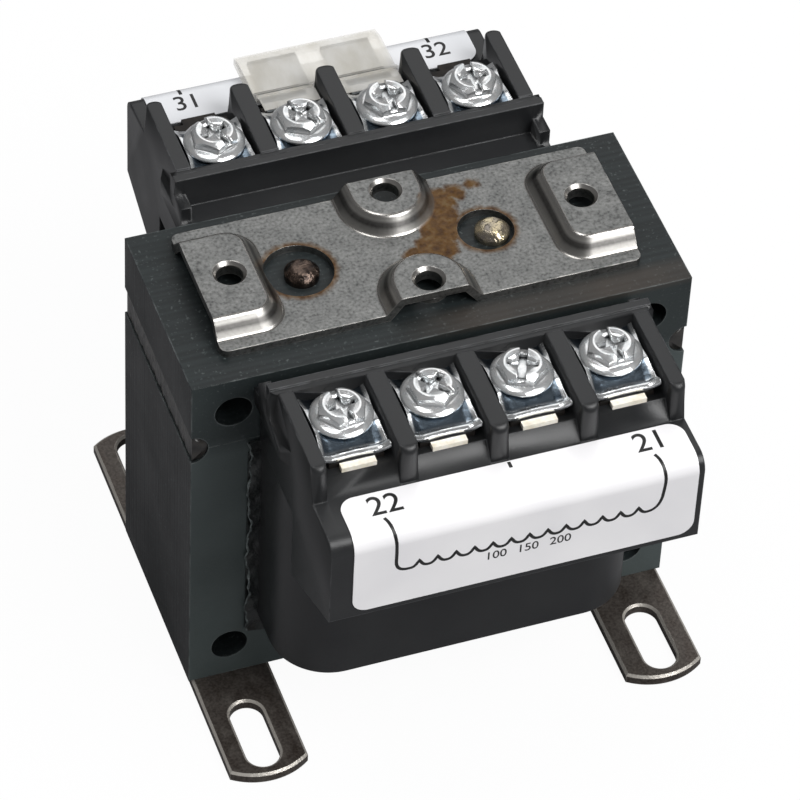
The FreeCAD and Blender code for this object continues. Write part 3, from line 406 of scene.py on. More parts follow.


# Top mounting plate
# Bare steel sheet, drawn in a press. The flats are grey and mottled by rolling oil, and the die
# leaves the bends smoother. Painted highlight and shade lie in stripes by height over the bends,
# the sloped faces get painted highlight, and the edges and hole rims get painted highlight that
# is partly rubbed metal. The heat of the two welds has started rust around them.
PLATE_SHIFT = 1.0 * MM
LEFT_WELD = (-16.5 * MM, PLATE_SHIFT, 5.2 * MM)
RIGHT_WELD = (12.3 * MM, PLATE_SHIFT, 4.2 * MM)
RUST_FADE = 1.9 * MM
BEND_FOOT = 66.4 * MM
BEND_TOP = 69.2 * MM
RUST_SPOTS = (
    (13.5, 10.6, 0.7),
    (10.5, 9.6, 1.3),
    (8.0, 8.6, 2.2),
    (6.4, 5.6, 2.9),
    (5.9, 2.6, 2.7),
    (4.2, -0.4, 2.9),
    (1.0, -1.6, 1.9),
)


def away_from(tree, x, y):
    """Distance on the plan from a point of the plate."""
    place = add(tree, "ShaderNodeTexCoord").outputs["Object"]
    flat = add(tree, "ShaderNodeVectorMath", {0: place, 1: (1, 1, 0)}, operation="MULTIPLY")
    gap = add(tree, "ShaderNodeVectorMath", {0: flat.outputs[0], 1: (x, y, 0)}, operation="DISTANCE")
    return gap.outputs["Value"]


plate_steel, tree, shader = new_material("pressed_bare_steel", "#8f8b87", 0.4, Metallic=1.0)
specks = noise(tree, 0.5 * MM, 3.0)
patches = noise(tree, 3 * MM, 5.0)
ragged = noise(tree, 1.3 * MM, 5.0)
flat_colour = blend(
    tree,
    0.45,
    ramp(tree, specks, (0.3, "#3e3f3f"), (0.45, "#888988"), (0.75, "#b6b7b5")),
    ramp(tree, patches, (0.3, "#717271"), (0.7, "#a6a6a4")),
)
upright = facing(tree, "Z")
# Painted highlight on the sloped faces; the same share makes them smoother and less pitted.
sheen_and_burnish = ramp(tree, upright, (0.0, 0.15), (0.3, 0.3), (0.8, 1.0), (0.94, 1.0), (0.985, 0.0))
# Painted highlight and shade in stripes by height over the bends.
painted_bend_stripes = ramp(
    tree,
    between(tree, axis(tree, "Z"), BEND_FOOT, BEND_TOP),
    (0.0, "#7d7a77"), (0.12, "#cbc8c3"), (0.35, "#a8a5a1"), (0.47, "#5b5856"),
    (0.62, "#6f6c69"), (0.74, "#d6d3ce"), (1.0, "#bcb9b5"),
)
metal_colour = blend(tree, sheen_and_burnish, flat_colour, painted_bend_stripes)
# Painted highlight along sharp edges and hole rims, partly rubbed metal.
shine = combine(tree, edge_wear_and_sheen(tree, 0.3 * MM), 0.8, "MULTIPLY")
metal_colour = blend(tree, shine, metal_colour, linear("#e8e5e0"))
spots = [(x * MM, y * MM, radius * MM, 2.4 * MM, 1.1 * MM) for x, y, radius in RUST_SPOTS]
spots += [(*weld, 1.8 * MM, 0.9 * MM) for weld in (LEFT_WELD, RIGHT_WELD)]
rust = 0.0
for x, y, radius, fray, solid in spots:
    reach = combine(tree, away_from(tree, x, y), combine(tree, ragged, fray, "MULTIPLY"), "ADD")
    spot = between(tree, reach, radius + RUST_FADE, radius + solid)
    rust = combine(tree, rust, spot, "MAXIMUM")
rust = combine(tree, rust, between(tree, upright, 0.5, 0.95), "MULTIPLY")
rust_colour = ramp(tree, ragged, (0.3, "#5f3b18"), (0.55, "#8c6530"), (0.75, "#9c8258"))
rusty = blend(tree, combine(tree, rust, 0.8, "MULTIPLY"), metal_colour, rust_colour)
tree.links.new(rusty, shader.inputs["Base Color"])
bare = ramp(tree, sheen_and_burnish, (0.0, 0.46), (1.0, 0.26))
rough = combine(tree, bare, combine(tree, rust, 0.35, "MULTIPLY"), "ADD")
tree.links.new(rough, shader.inputs["Roughness"])
pitted = combine(tree, specks, combine(tree, 1.0, sheen_and_burnish, "SUBTRACT"), "MULTIPLY")
bump(tree, shader, pitted, 0.03 * MM, 0.8, 0.2 * MM)
dress(plate_steel, "top_mounting_plate")


# Plate welds
# Two spots of weld metal on the core, seen through the plate's holes. The left one is burnt
# black and glossy, and the right one is bright with a straw tint.
for name, shade, tint, roughness in (
    ("left_plate_weld", "#2a2321", "#75655b", 0.16),
    ("right_plate_weld", "#9a9289", "#dccda9", 0.18),
):
    nugget, tree, shader = new_material(name + "_metal", shade, roughness, Metallic=0.9)
    lumps = noise(tree, 1.6 * MM, 3.0)
    tree.links.new(ramp(tree, lumps, (0.35, shade), (0.7, tint)), shader.inputs["Base Color"])
    bump(tree, shader, lumps, 0.5 * MM, 1.0, 0.8 * MM)
    dress(nugget, name)


# Coil covers and terminal blocks
# Black glass-filled nylon from a mould with a fine spark finish, which gives a satin surface
# with soft edges.
nylon, tree, shader = new_material("moulded_black_nylon", "#202123", 0.36)
spark = noise(tree, 0.35 * MM, 2.0)
flow = noise(tree, 12 * MM, 3.0)
body_colour = ramp(tree, flow, (0.3, "#1b1c1e"), (0.7, "#272829"))
scuffs = combine(tree, edge_wear_and_sheen(tree, 0.3 * MM, 2 * MM), 0.45, "MULTIPLY")
tree.links.new(blend(tree, scuffs, body_colour, linear("#77797c")), shader.inputs["Base Color"])
tree.links.new(ramp(tree, flow, (0.3, 0.3), (0.7, 0.44)), shader.inputs["Roughness"])
bump(tree, shader, spark, 0.02 * MM, 0.6, 0.35 * MM)
ENDS = ("front", "rear")
dress(nylon, "front_coil_cover", "rear_coil_cover")

# The ends of the walls between the cells are rounded, and the rear block has no lugs.
CELL_PITCH = 13.5 * MM
WALLS = ((0, 1.35 * MM), (CELL_PITCH, 1.35 * MM), (26.775 * MM, 1.125 * MM))
WALL_END = 39.3 * MM
WALL_ROUND = 1.1 * MM
WALL_BLEND = 1.5 * MM
WALL_FOOT = 62.3 * MM
BLOCK_SIDE = 28.85 * MM
LUG_LEFT = 0.03
ROUND_CUTS = (0.08, 0.3, 0.6, 1.0)


def share_between(value, start, end):
    """The share of the way from start to end, kept between 0 and 1."""
    return min(max((value - start) / (end - start), 0), 1)


for end, way in (("front", -1), ("rear", 1)):
    node = f"{end}_terminal_block"
    build = merged(node)
    walls = {(side * middle, half) for middle, half in WALLS for side in (-1, 1)}
    for middle, half in sorted(walls):
        for share in ROUND_CUTS:
            for side in (-1, 1):
                slice_at(build, Vector((1, 0, 0)), middle + side * (half - share * WALL_ROUND))
    for vertex in build.verts:
        reach = vertex.co.y * way
        lift = share_between(vertex.co.z, WALL_FOOT, WALL_FOOT + WALL_BLEND)
        near_end = share_between(reach, WALL_END - WALL_BLEND, WALL_END)
        if near_end and lift and reach < WALL_END + TINY:
            for middle, half in walls:
                inside = half - abs(vertex.co.x - middle)
                if -TINY < inside < WALL_ROUND:
                    from_middle = WALL_ROUND - max(inside, 0)
                    cut_back = WALL_ROUND - math.sqrt(max(WALL_ROUND ** 2 - from_middle ** 2, 0))
                    vertex.co.y -= way * cut_back * lift * near_end
        past = abs(vertex.co.x) - BLOCK_SIDE
        if end == "rear" and past > 0:
            vertex.co.x = math.copysign(BLOCK_SIDE + past * LUG_LEFT, vertex.co.x)
    moulding = link_mesh(f"{end}_block_moulding", build)
    moulding.data.materials.append(nylon)
    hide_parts(node)
    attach(moulding, "root")


# Bobbin, windings and lead wires
# Enamelled copper wire wound on a plain nylon bobbin, with kraft paper between the windings and
# round the outside. The leads run through the bobbin's flanges to the terminal plates.
bobbin_nylon, tree, shader = new_material("bobbin_nylon", "#2b2c2e", 0.5)
bump(tree, shader, noise(tree, 0.6 * MM), 0.02 * MM)
dress(bobbin_nylon, "coil_bobbin")
copper, tree, shader = new_material("enamelled_copper", "#a4602f", 0.3, Metallic=1.0)
turns = noise(tree, 0.9 * MM, 1.0, (60, 60, 1))
tree.links.new(ramp(tree, turns, (0.35, "#6d3616"), (0.6, "#b9713c")), shader.inputs["Base Color"])
bump(tree, shader, turns, 0.3 * MM)
leads = [f"{end}_lead_wire_{number}" for end in ENDS for number in (1, 2, 3, 4)]
dress(copper, "primary_winding", "secondary_winding", *leads)
kraft, tree, shader = new_material("kraft_insulation_paper", "#9c7f57", 0.75)
fibres = noise(tree, 0.8 * MM, 4.0, (3, 3, 1))
tree.links.new(ramp(tree, fibres, (0.3, "#86693f"), (0.7, "#ac9068")), shader.inputs["Base Color"])
bump(tree, shader, fibres, 0.05 * MM)
dress(kraft, "winding_paper", "coil_wrap")


# Window liners
# Insulation paper soaked in the same black varnish, folded back over the core's face at both
# ends. Each cuff is crumpled, and its cut edge is pale and frayed.
CUFF_START = 25.2 * MM
CUFF_EDGE = 29.3 * MM
CUFF_LOW = 10.8 * MM
CUFF_HIGH = 52.4 * MM
CORE_FACE = 16.0 * MM
CUFF_PAPER = 0.35 * MM
CUFF_GAP = 0.15 * MM
CUFF_FRAY = 0.45 * MM
CUFF_SWELL = 0.5 * MM
CUFF_CURL = 0.8 * MM
CUFF_ROWS = 90
CUFF_COLUMNS = 8
EDGE_SIDES = 6
liner, tree, shader = new_material("varnished_fish_paper", "#1b1e1e", 0.32)
crumple = noise(tree, 2.0 * MM, 4.0)
tree.links.new(ramp(tree, crumple, (0.3, "#151717"), (0.7, "#2a2e2e")), shader.inputs["Base Color"])
bump(tree, shader, crumple, 0.4 * MM)
dress(liner, "left_window_liner", "right_window_liner")
frayed, tree, shader = new_material("frayed_paper_edge", "#5c6363", 0.5)
fluff = noise(tree, 1.2 * MM, 4.0)
threads = ramp(tree, fluff, (0.35, "#262a2a"), (0.55, "#555c5c"), (0.75, "#8b9292"))
tree.links.new(threads, shader.inputs["Base Color"])
bump(tree, shader, fluff, 0.2 * MM)


def ripple(place, start):
    """An uneven wave between -1 and 1."""
    wave = math.sin(place * 1.1 + start)
    wave += 0.6 * math.sin(place * 2.7 + start * 2.1)
    wave += 0.4 * math.sin(place * 6.1 + start)
    return wave / 2


cuffs = bmesh.new()
edges = bmesh.new()
for corner, (side, way) in enumerate(((-1, -1), (1, -1), (-1, 1), (1, 1))):
    sheet = []
    rim = []
    for row in range(CUFF_ROWS + 1):
        level = CUFF_LOW + (CUFF_HIGH - CUFF_LOW) * row / CUFF_ROWS
        wave = ripple(level / (2.2 * MM), corner * 1.7)
        curl = 0.5 + 0.5 * ripple(level / (3.1 * MM), corner * 2.3 + 1)
        outer, inner = [], []
        for column in range(CUFF_COLUMNS + 1):
            share = column / CUFF_COLUMNS
            x = CUFF_START + (CUFF_EDGE + CUFF_FRAY * wave - CUFF_START) * share
            puff = 0.5 + 0.5 * ripple(level / (1.6 * MM) + share * 2, corner)
            swell = CUFF_SWELL * puff * math.sin(share * math.pi)
            lift = CUFF_GAP + swell + CUFF_CURL * curl * share ** 3
            inner.append(cuffs.verts.new((side * x, way * (CORE_FACE + lift), level)))
            outer.append(cuffs.verts.new((side * x, way * (CORE_FACE + lift + CUFF_PAPER), level)))
        sheet.append(outer + inner[::-1])
        rim.append(Vector((side * x, way * (CORE_FACE + lift + CUFF_PAPER / 2), level)))
    for below, above in zip(sheet, sheet[1:]):
        for index in range(len(below)):
            after = (index + 1) % len(below)
            cuffs.faces.new((below[index], below[after], above[after], above[index]))
    cuffs.faces.new(sheet[0])
    cuffs.faces.new(sheet[-1][::-1])
    hoops = []
    for row, middle in enumerate(rim):
        thick = (0.2 + 0.07 * ripple(row * 1.3, corner)) * MM
        hoops.append([
            edges.verts.new(middle + Vector((thick * math.cos(turn), thick * math.sin(turn), 0)))
            for turn in (2 * math.pi * step / EDGE_SIDES for step in range(EDGE_SIDES))
        ])
    for below, above in zip(hoops, hoops[1:]):
        for index in range(EDGE_SIDES):
            after = (index + 1) % EDGE_SIDES
            edges.faces.new((below[index], below[after], above[after], above[index]))
    edges.faces.new(hoops[0])
    edges.faces.new(hoops[-1][::-1])
for name, build, finish in (("liner_cuffs", cuffs, liner), ("liner_cuff_edges", edges, frayed)):
    piece = link_mesh(name, build)
    piece.data.materials.append(finish)
    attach(piece, "root")


# Terminal plates
# Brass strip with a thick dip of tin, which is cream white and dull. Only the front tongues show
# it: the front plates are painted dark as shade behind the clamps' front edge, and the rear
# plates are painted dark as shade from the wall.
TONGUE_ROOT = -35.9 * MM
tin, tree, shader = new_material("dipped_tin", "#f4efe2", 0.35, Metallic=0.25)
smears = noise(tree, 1.4 * MM, 3.0)
clean = ramp(tree, smears, (0.3, "#e3dac4"), (0.6, "#f9f4e8"))
# Painted shade: the front plates are dark behind the tongue, under the clamps.
tongue = between(tree, axis(tree, "Y"), TONGUE_ROOT + 0.05 * MM, TONGUE_ROOT - 0.05 * MM)
tree.links.new(blend(tree, tongue, linear("#24211f"), clean), shader.inputs["Base Color"])
bump(tree, shader, smears, 0.06 * MM)
dress(tin, *(f"front_terminal_plate_{number}" for number in (1, 2, 3, 4)))
# The rear plates are painted dark as shade from the wall.
shaded_tin, tree, shader = new_material("shade_darkened_tin", "#1f1c1a", 0.45, Metallic=0.5)
painted_tin_shade = ramp(tree, noise(tree, 1.4 * MM, 3.0), (0.3, "#161413"), (0.7, "#2c2723"))
tree.links.new(painted_tin_shade, shader.inputs["Base Color"])
dress(shaded_tin, *(f"rear_terminal_plate_{number}" for number in (1, 2, 3, 4)))


# Saddle clamps
# Pressed steel with bright zinc plating, which has a blue cast and small ripples that break up
# what it mirrors. The front lip and the side edges are painted bright as a highlight.
CLAMP_BACK = -5.3 * MM
FRONT_CLAMP = 6.9 * MM
REAR_CLAMP = 4.9 * MM
CLAMP_HALF = 5.1 * MM
CLAMP_WAIST = 0.45 * MM
CLAMP_SHEET = 0.6 * MM
CLAMP_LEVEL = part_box("front_saddle_clamp_1")[1][2]
PLATE_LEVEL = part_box("front_saddle_clamp_1")[0][2] + 0.02 * MM
SEAT_REACH = 2.4 * MM
LIP_START = 5.5 * MM
LIP_END = 7.1 * MM
LIP_RISE = 0.4 * MM
RIDGE_RISE = 0.75 * MM
CLAMP_ROWS = 34
CLAMP_COLUMNS = 28


def crevice_shade(tree, reach):
    """Painted shade in corners and recesses narrower than the reach, found by an occlusion test."""
    openness = add(tree, "ShaderNodeAmbientOcclusion", {"Distance": reach}, samples=8, only_local=True)
    return between(tree, openness.outputs["AO"], 0.8, 0.4)


def zinc_plate(name, dull, bright, rough, metallic):
    """Bright zinc plating, slightly rippled at the scale of a millimetre. Its rim gets painted highlight.
    """
    made, tree, shader = new_material(name, bright, rough, Metallic=metallic)
    plating = noise(tree, 1.4 * MM, 2.0)
    uneven = ramp(tree, plating, (0.3, rough + 0.08), (0.7, rough - 0.04))
    tree.links.new(uneven, shader.inputs["Roughness"])
    bump(tree, shader, plating, 0.035 * MM, 1.0, 0.15 * MM)
    colour = ramp(tree, plating, (0.3, dull), (0.65, bright))
    rim = add(tree, "ShaderNodeAttribute", attribute_name="rim").outputs["Fac"]
    # Rubbed edges, with painted highlight on them and on the rim: the clamp's front lip and sides.
    rubbed = combine(tree, edge_wear_and_sheen(tree, 0.4 * MM), rim, "MAXIMUM")
    colour = blend(tree, rubbed, colour, linear("#f4f6f7"))
    # Painted shade: recesses are darkened.
    colour = blend(tree, crevice_shade(tree, 0.9 * MM), colour, linear("#2f3336"))
    tree.links.new(colour, shader.inputs["Base Color"])
    return made


blue_zinc = zinc_plate("blue_zinc", "#343d46", "#6d7984", 0.2, 0.95)
zinc = zinc_plate("bright_zinc", "#e6eaec", "#fdfdfd", 0.2, 0.86)


def clamp_top(across, along):
    """Height of the pressed sheet below the screw's seat."""
    front = min(max(along - SEAT_REACH, 0) * 0.45, 1.35 * MM)
    rear = max(-along - SEAT_REACH, 0) * 0.3
    lip = LIP_RISE * math.sin(math.pi * share_between(along, LIP_START, LIP_END))
    curl = max((abs(across) - 0.66) / 0.34, 0) ** 1.4
    ridge = RIDGE_RISE * curl * (0.2 + 0.8 * abs(along) / (6 * MM))
    return CLAMP_LEVEL - 0.02 * MM - front - rear + lip + ridge


def clamp(name, length):
    """One clamp, as long in front of its screw as given."""
    build = bmesh.new()
    rim = build.verts.layers.float.new("rim")
    tops, unders = [], []
    for row in range(CLAMP_ROWS + 1):
        share = row / CLAMP_ROWS
        along = CLAMP_BACK + (length - CLAMP_BACK) * share
        half = CLAMP_HALF - CLAMP_WAIST * math.sin(share * math.pi)
        top, under = [], []
        for column in range(CLAMP_COLUMNS + 1):
            across = 2 * column / CLAMP_COLUMNS - 1
            bow = 0.35 * MM * (1 - across ** 2) * (2 * share - 1)
            level = clamp_top(across, along)
            low = max(level - CLAMP_SHEET, PLATE_LEVEL)
            top.append(build.verts.new((across * half, -along + bow, level - CLAMP_LEVEL)))
            under.append(build.verts.new((across * half, -along + bow, low - CLAMP_LEVEL)))
            # The front lip and the side edges are marked for a painted highlight.
            at_front = share_between(along, length - 1.5 * MM, length - 1.2 * MM)
            top[-1][rim] = max(at_front, share_between(abs(across), 0.86, 0.92))
        tops.append(top)
        unders.append(under)
    for grid in (tops, unders):
        for before, after in zip(grid, grid[1:]):
            for column in range(CLAMP_COLUMNS):
                build.faces.new((before[column], before[column + 1], after[column + 1], after[column]))
    border = [(row, 0) for row in range(CLAMP_ROWS)]
    border += [(CLAMP_ROWS, column) for column in range(CLAMP_COLUMNS)]
    border += [(row, CLAMP_COLUMNS) for row in range(CLAMP_ROWS, 0, -1)]
    border += [(0, column) for column in range(CLAMP_COLUMNS, 0, -1)]
    for (row, column), (next_row, next_column) in zip(border, border[1:] + border[:1]):
        build.faces.new((
            tops[row][column],
            tops[next_row][next_column],
            unders[next_row][next_column],
            unders[row][column],
        ))
    return link_mesh(name, build)


# Terminal screws
# Steel hex washer head screws, cold headed with a cross and slot drive and plated with zinc.
# The flange is domed, and the top of the hex is cut by a cone, which leaves an arc on each flat.
FLANGE_RADIUS = 4.6 * MM
FLANGE_EDGE = 0.35 * MM
FLANGE_TOP = 0.9 * MM
HEX_FLAT = 3.175 * MM
HEX_TOP = 2.6 * MM
CROWN_RADIUS = 2.75 * MM
CROWN_SLOPE = 0.75
SHANK_RADIUS = 2.05 * MM
SHANK_LENGTH = 9.5 * MM
DRIVE_SLOT = (1.2 * MM, 9.0 * MM, 1.0 * MM)
DRIVE_CROSS = (4.4 * MM, 1.2 * MM, 1.5 * MM)
HEAD_STEPS = 96
SCREW_TURNS = {"front": (8, 38, -24, 4), "rear": (-2, 0, 33, 22)}
SCREW_REACH = 29.0 * MM


def hex_radius(angle):
    """Radius of the hexagon's outline at an angle."""
    return HEX_FLAT / math.cos((angle % (math.pi / 3)) - math.pi / 6)


def block(build, low, high):
    """Adds a box to a bmesh."""
    corners = [
        build.verts.new((x, y, z))
        for x in (low[0], high[0])
        for y in (low[1], high[1])
        for z in (low[2], high[2])
    ]
    for face in ((0, 1, 3, 2), (4, 6, 7, 5), (0, 4, 5, 1), (2, 3, 7, 6), (0, 2, 6, 4), (1, 5, 7, 3)):
        build.faces.new([corners[index] for index in face])


rings = [
    lambda angle: (SHANK_RADIUS * 0.7, -SHANK_LENGTH),
    lambda angle: (SHANK_RADIUS, -SHANK_LENGTH + 0.6 * MM),
    lambda angle: (SHANK_RADIUS, 0.0),
    lambda angle: (FLANGE_RADIUS - 0.15 * MM, 0.0),
    lambda angle: (FLANGE_RADIUS, 0.12 * MM),
    lambda angle: (FLANGE_RADIUS, FLANGE_EDGE),
    lambda angle: (FLANGE_RADIUS - 0.15 * MM, FLANGE_EDGE + 0.14 * MM),
    lambda angle: (FLANGE_RADIUS - 0.55 * MM, FLANGE_TOP - 0.12 * MM),
    lambda angle: (hex_radius(angle) + 0.12 * MM, FLANGE_TOP),
    lambda angle: (hex_radius(angle), FLANGE_TOP + 0.14 * MM),
    lambda angle: (hex_radius(angle), HEX_TOP - (hex_radius(angle) - CROWN_RADIUS) * CROWN_SLOPE),
    lambda angle: (CROWN_RADIUS, HEX_TOP),
    lambda angle: (CROWN_RADIUS - 0.35 * MM, HEX_TOP),
    lambda angle: (CROWN_RADIUS - 0.7 * MM, HEX_TOP - 0.18 * MM),
]
build = bmesh.new()
loops = []
for ring in rings:
    loop = []
    for step in range(HEAD_STEPS):
        angle = 2 * math.pi * step / HEAD_STEPS
        radius, level = ring(angle)
        loop.append(build.verts.new((radius * math.cos(angle), radius * math.sin(angle), level)))
    loops.append(loop)
for lower, upper in zip(loops, loops[1:]):
    for step in range(HEAD_STEPS):
        after = (step + 1) % HEAD_STEPS
        build.faces.new((lower[step], lower[after], upper[after], upper[step]))
build.faces.new(list(reversed(loops[0])))
build.faces.new(loops[-1])
screw = link_mesh("screw_blank", build)

build = bmesh.new()
width, length, depth = DRIVE_SLOT
block(build, (-width / 2, -length / 2, HEX_TOP - depth), (width / 2, length / 2, HEX_TOP + depth))
slot_cutter = link_mesh("slot_cutter", build)
build = bmesh.new()
length, width, depth = DRIVE_CROSS
block(build, (-length / 2, -width / 2, HEX_TOP - depth), (length / 2, width / 2, HEX_TOP + depth))
cross_cutter = link_mesh("cross_cutter", build)
build = bmesh.new()
block(build, (-width / 2, -length / 2, HEX_TOP - depth), (width / 2, length / 2, HEX_TOP + depth * 1.1))
well_cutter = link_mesh("well_cutter", build)
for cutter in (slot_cutter, cross_cutter, well_cutter):
    cut = screw.modifiers.new(cutter.name, "BOOLEAN")
    cut.operation = "DIFFERENCE"
    cut.solver = "EXACT"
    cut.object = cutter
one_screw = plain_copy("one_screw", screw)
drop(screw, slot_cutter, cross_cutter, well_cutter)

rows = bpy.data.node_groups.new("rows_in_cells", "GeometryNodeTree")
rows.is_modifier = True
rows.interface.new_socket("Places", in_out="INPUT", socket_type="NodeSocketGeometry")
piece_input = rows.interface.new_socket("Piece", in_out="INPUT", socket_type="NodeSocketObject")
finish_input = rows.interface.new_socket("Finish", in_out="INPUT", socket_type="NodeSocketMaterial")
rows.interface.new_socket("Rows", in_out="OUTPUT", socket_type="NodeSocketGeometry")
given = add(rows, "NodeGroupInput")
one = add(rows, "GeometryNodeObjectInfo", {"Object": given.outputs["Piece"]})
turn = add(rows, "GeometryNodeInputNamedAttribute", {"Name": "turn"}, data_type="FLOAT")
spin = add(rows, "ShaderNodeCombineXYZ", {"Z": turn.outputs["Attribute"]})
rotation = add(rows, "FunctionNodeEulerToRotation", {0: spin.outputs[0]})
copies = add(
    rows,
    "GeometryNodeInstanceOnPoints",
    {
        "Points": given.outputs["Places"],
        "Instance": one.outputs["Geometry"],
        "Rotation": rotation.outputs[0],
    },
)
real = add(rows, "GeometryNodeRealizeInstances", {"Geometry": copies.outputs[0]})
finished = add(
    rows,
    "GeometryNodeSetMaterial",
    {"Geometry": real.outputs[0], "Material": given.outputs["Finish"]},
)
add(rows, "NodeGroupOutput", {"Rows": finished.outputs[0]})


def in_cells(name, piece, finish, turns, nodes):
    """Sets a piece in the cells of each end, turned by degrees, in place of the CAD nodes."""
    places, angles = [], []
    for end, way in (("front", -1), ("rear", 1)):
        for number, turn in enumerate(turns.get(end, ())):
            places.append((-way * CELL_PITCH * (number - 1.5), way * SCREW_REACH, CLAMP_LEVEL))
            angles.append(math.radians(turn))
    points = bpy.data.meshes.new(name + "_places")
    points.from_pydata(places, [], [])
    points.attributes.new("turn", "FLOAT", "POINT").data.foreach_set("value", angles)
    holder = put(name + "_places", points)
    modifier = holder.modifiers.new("rows", "NODES")
    modifier.node_group = rows
    modifier[piece_input.identifier] = piece
    modifier[finish_input.identifier] = finish
    made = plain_copy(name, holder)
    drop(piece, holder)
    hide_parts(*nodes)
    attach(made, "root")


for end, length, turn in (("front", FRONT_CLAMP, 0), ("rear", REAR_CLAMP, 180)):
    nodes = [f"{end}_saddle_clamp_{number}" for number in (1, 2, 3, 4)]
    in_cells(f"{end}_clamps", clamp("one_clamp", length), blue_zinc, {end: (turn,) * 4}, nodes)
screw_rows = ["front_terminal_screws", "rear_terminal_screws"]
in_cells("terminal_screws", one_screw, zinc, SCREW_TURNS, screw_rows)


# Labels
# Gloss white film, stuck over the rounded nose and printed in black with plain numbers, ticks
# and a row of loops that stands for the winding.
LABEL_START = 39.8 * MM
NOSE_REACH = 47.8 * MM
NOSE_ROUND = 2.4 * MM
LEDGE = 62.3 * MM
FILM = 0.23 * MM
FILM_FLAT = NOSE_REACH - NOSE_ROUND - LABEL_START
FILM_CURVE = (NOSE_ROUND + FILM) * math.pi / 2
INK = 0.02 * MM
LINE = 0.5 * MM
BIG_TEXT = 5.0 * MM
REAR_TEXT = 4.3 * MM
SMALL_TEXT = 2.2 * MM
TEXT_WEIGHT = 0.006
TEXT_CUT = 0.3 * MM
gloss = {"Coat Weight": 0.4, "Coat Roughness": 0.08}
film, tree, shader = new_material("gloss_white_film", "#e9e8ea", 0.22, **gloss)
shades = ramp(tree, noise(tree, 14 * MM), (0.3, "#ebeaec"), (0.7, "#f5f4f5"))
tree.links.new(shades, shader.inputs["Base Color"])
bump(tree, shader, noise(tree, 6 * MM), 0.05 * MM, 0.6)
dress(film, "front_label")
# The rear label is the same white film painted greyer, as painted shade.
shaded_film, tree, shader = new_material("shaded_white_film", "#d4d6d9", 0.26, **{"Coat Weight": 0.3})
shades = ramp(tree, noise(tree, 14 * MM), (0.3, "#cdcfd3"), (0.7, "#dadbde"))
tree.links.new(shades, shader.inputs["Base Color"])
bump(tree, shader, noise(tree, 6 * MM), 0.05 * MM, 0.6)
dress(shaded_film, "rear_label")
ink, tree, shader = new_material("black_print", "#151515", 0.4)
shades = ramp(tree, noise(tree, 0.5 * MM), (0.3, "#101010"), (0.7, "#1c1c1c"))
tree.links.new(shades, shader.inputs["Base Color"])


def on_label(way, x, along, lift):
    """A point on a wrapped label, from its distance along the film and out from it."""
    radius = NOSE_ROUND + FILM + lift
    if along <= FILM_FLAT:
        reach, level = LABEL_START + along, LEDGE + FILM + lift
    elif along <= FILM_FLAT + FILM_CURVE:
        angle = (along - FILM_FLAT) / FILM_CURVE * math.pi / 2
        reach = NOSE_REACH - NOSE_ROUND + radius * math.sin(angle)
        level = LEDGE - NOSE_ROUND + radius * math.cos(angle)
    else:
        reach = NOSE_REACH + FILM + lift
        level = LEDGE - NOSE_ROUND - (along - FILM_FLAT - FILM_CURVE)
    return Vector((x, way * reach, level))


def down_face(level):
    """Distance along the film of a level on the front of the nose."""
    return FILM_FLAT + FILM_CURVE + LEDGE - NOSE_ROUND - level


def print_line(build, way, points):
    """Adds a thin black band along points of (x, distance along the film)."""
    sides = []
    for number, (x, along) in enumerate(points):
        before = points[max(number - 1, 0)]
        after = points[min(number + 1, len(points) - 1)]
        run = Vector((after[0] - before[0], after[1] - before[1])).normalized() * LINE / 2
        sides.append([
            build.verts.new(on_label(way, x + sign * run.y, along - sign * run.x, lift))
            for sign, lift in ((-1, 0), (1, 0), (1, INK), (-1, INK))
        ])
    for first, second in zip(sides, sides[1:]):
        for corner in range(4):
            following = (corner + 1) % 4
            build.faces.new((first[corner], first[following], second[following], second[corner]))
    build.faces.new(sides[0])
    build.faces.new(list(reversed(sides[-1])))


def print_text(build, way, words, size, x, along):
    """Adds text, centred on a point of the film and upright when it is seen from the front."""
    curve = bpy.data.curves.new("print", "FONT")
    curve.body = words
    curve.size = size
    curve.align_x = "CENTER"
    curve.align_y = "CENTER"
    curve.extrude = INK / 2
    curve.offset = size * TEXT_WEIGHT
    writer = put("print", curve)
    flat = plain_copy("print_mesh", writer)
    letters = bmesh.new()
    letters.from_mesh(flat.data)
    for cut in range(int(-size / TEXT_CUT), int(size / TEXT_CUT) + 1):
        slice_at(letters, Vector((0, 1, 0)), cut * TEXT_CUT)
    letters.verts.index_update()
    corners = []
    for vertex in letters.verts:
        spot = on_label(way, x + vertex.co.x, along + way * vertex.co.y, vertex.co.z + INK / 2)
        corners.append(build.verts.new(spot))
    for face in letters.faces:
        build.faces.new([corners[vertex.index] for vertex in face.verts])
    letters.free()
    drop(flat, writer)


def steps(first, last, count=8):
    """Points in a straight run, close enough to follow the rounded nose."""
    return [
        tuple(start + (stop - start) * step / count for start, stop in zip(first, last))
        for step in range(count + 1)
    ]


def bend(first, control, last, count):
    """Points along a curve that leaves the first point and meets the last towards a control point."""
    return [
        tuple(
            start * (1 - share) ** 2 + pull * 2 * share * (1 - share) + stop * share ** 2
            for start, pull, stop in zip(first, control, last)
        )
        for share in (step / count for step in range(count + 1))
    ]


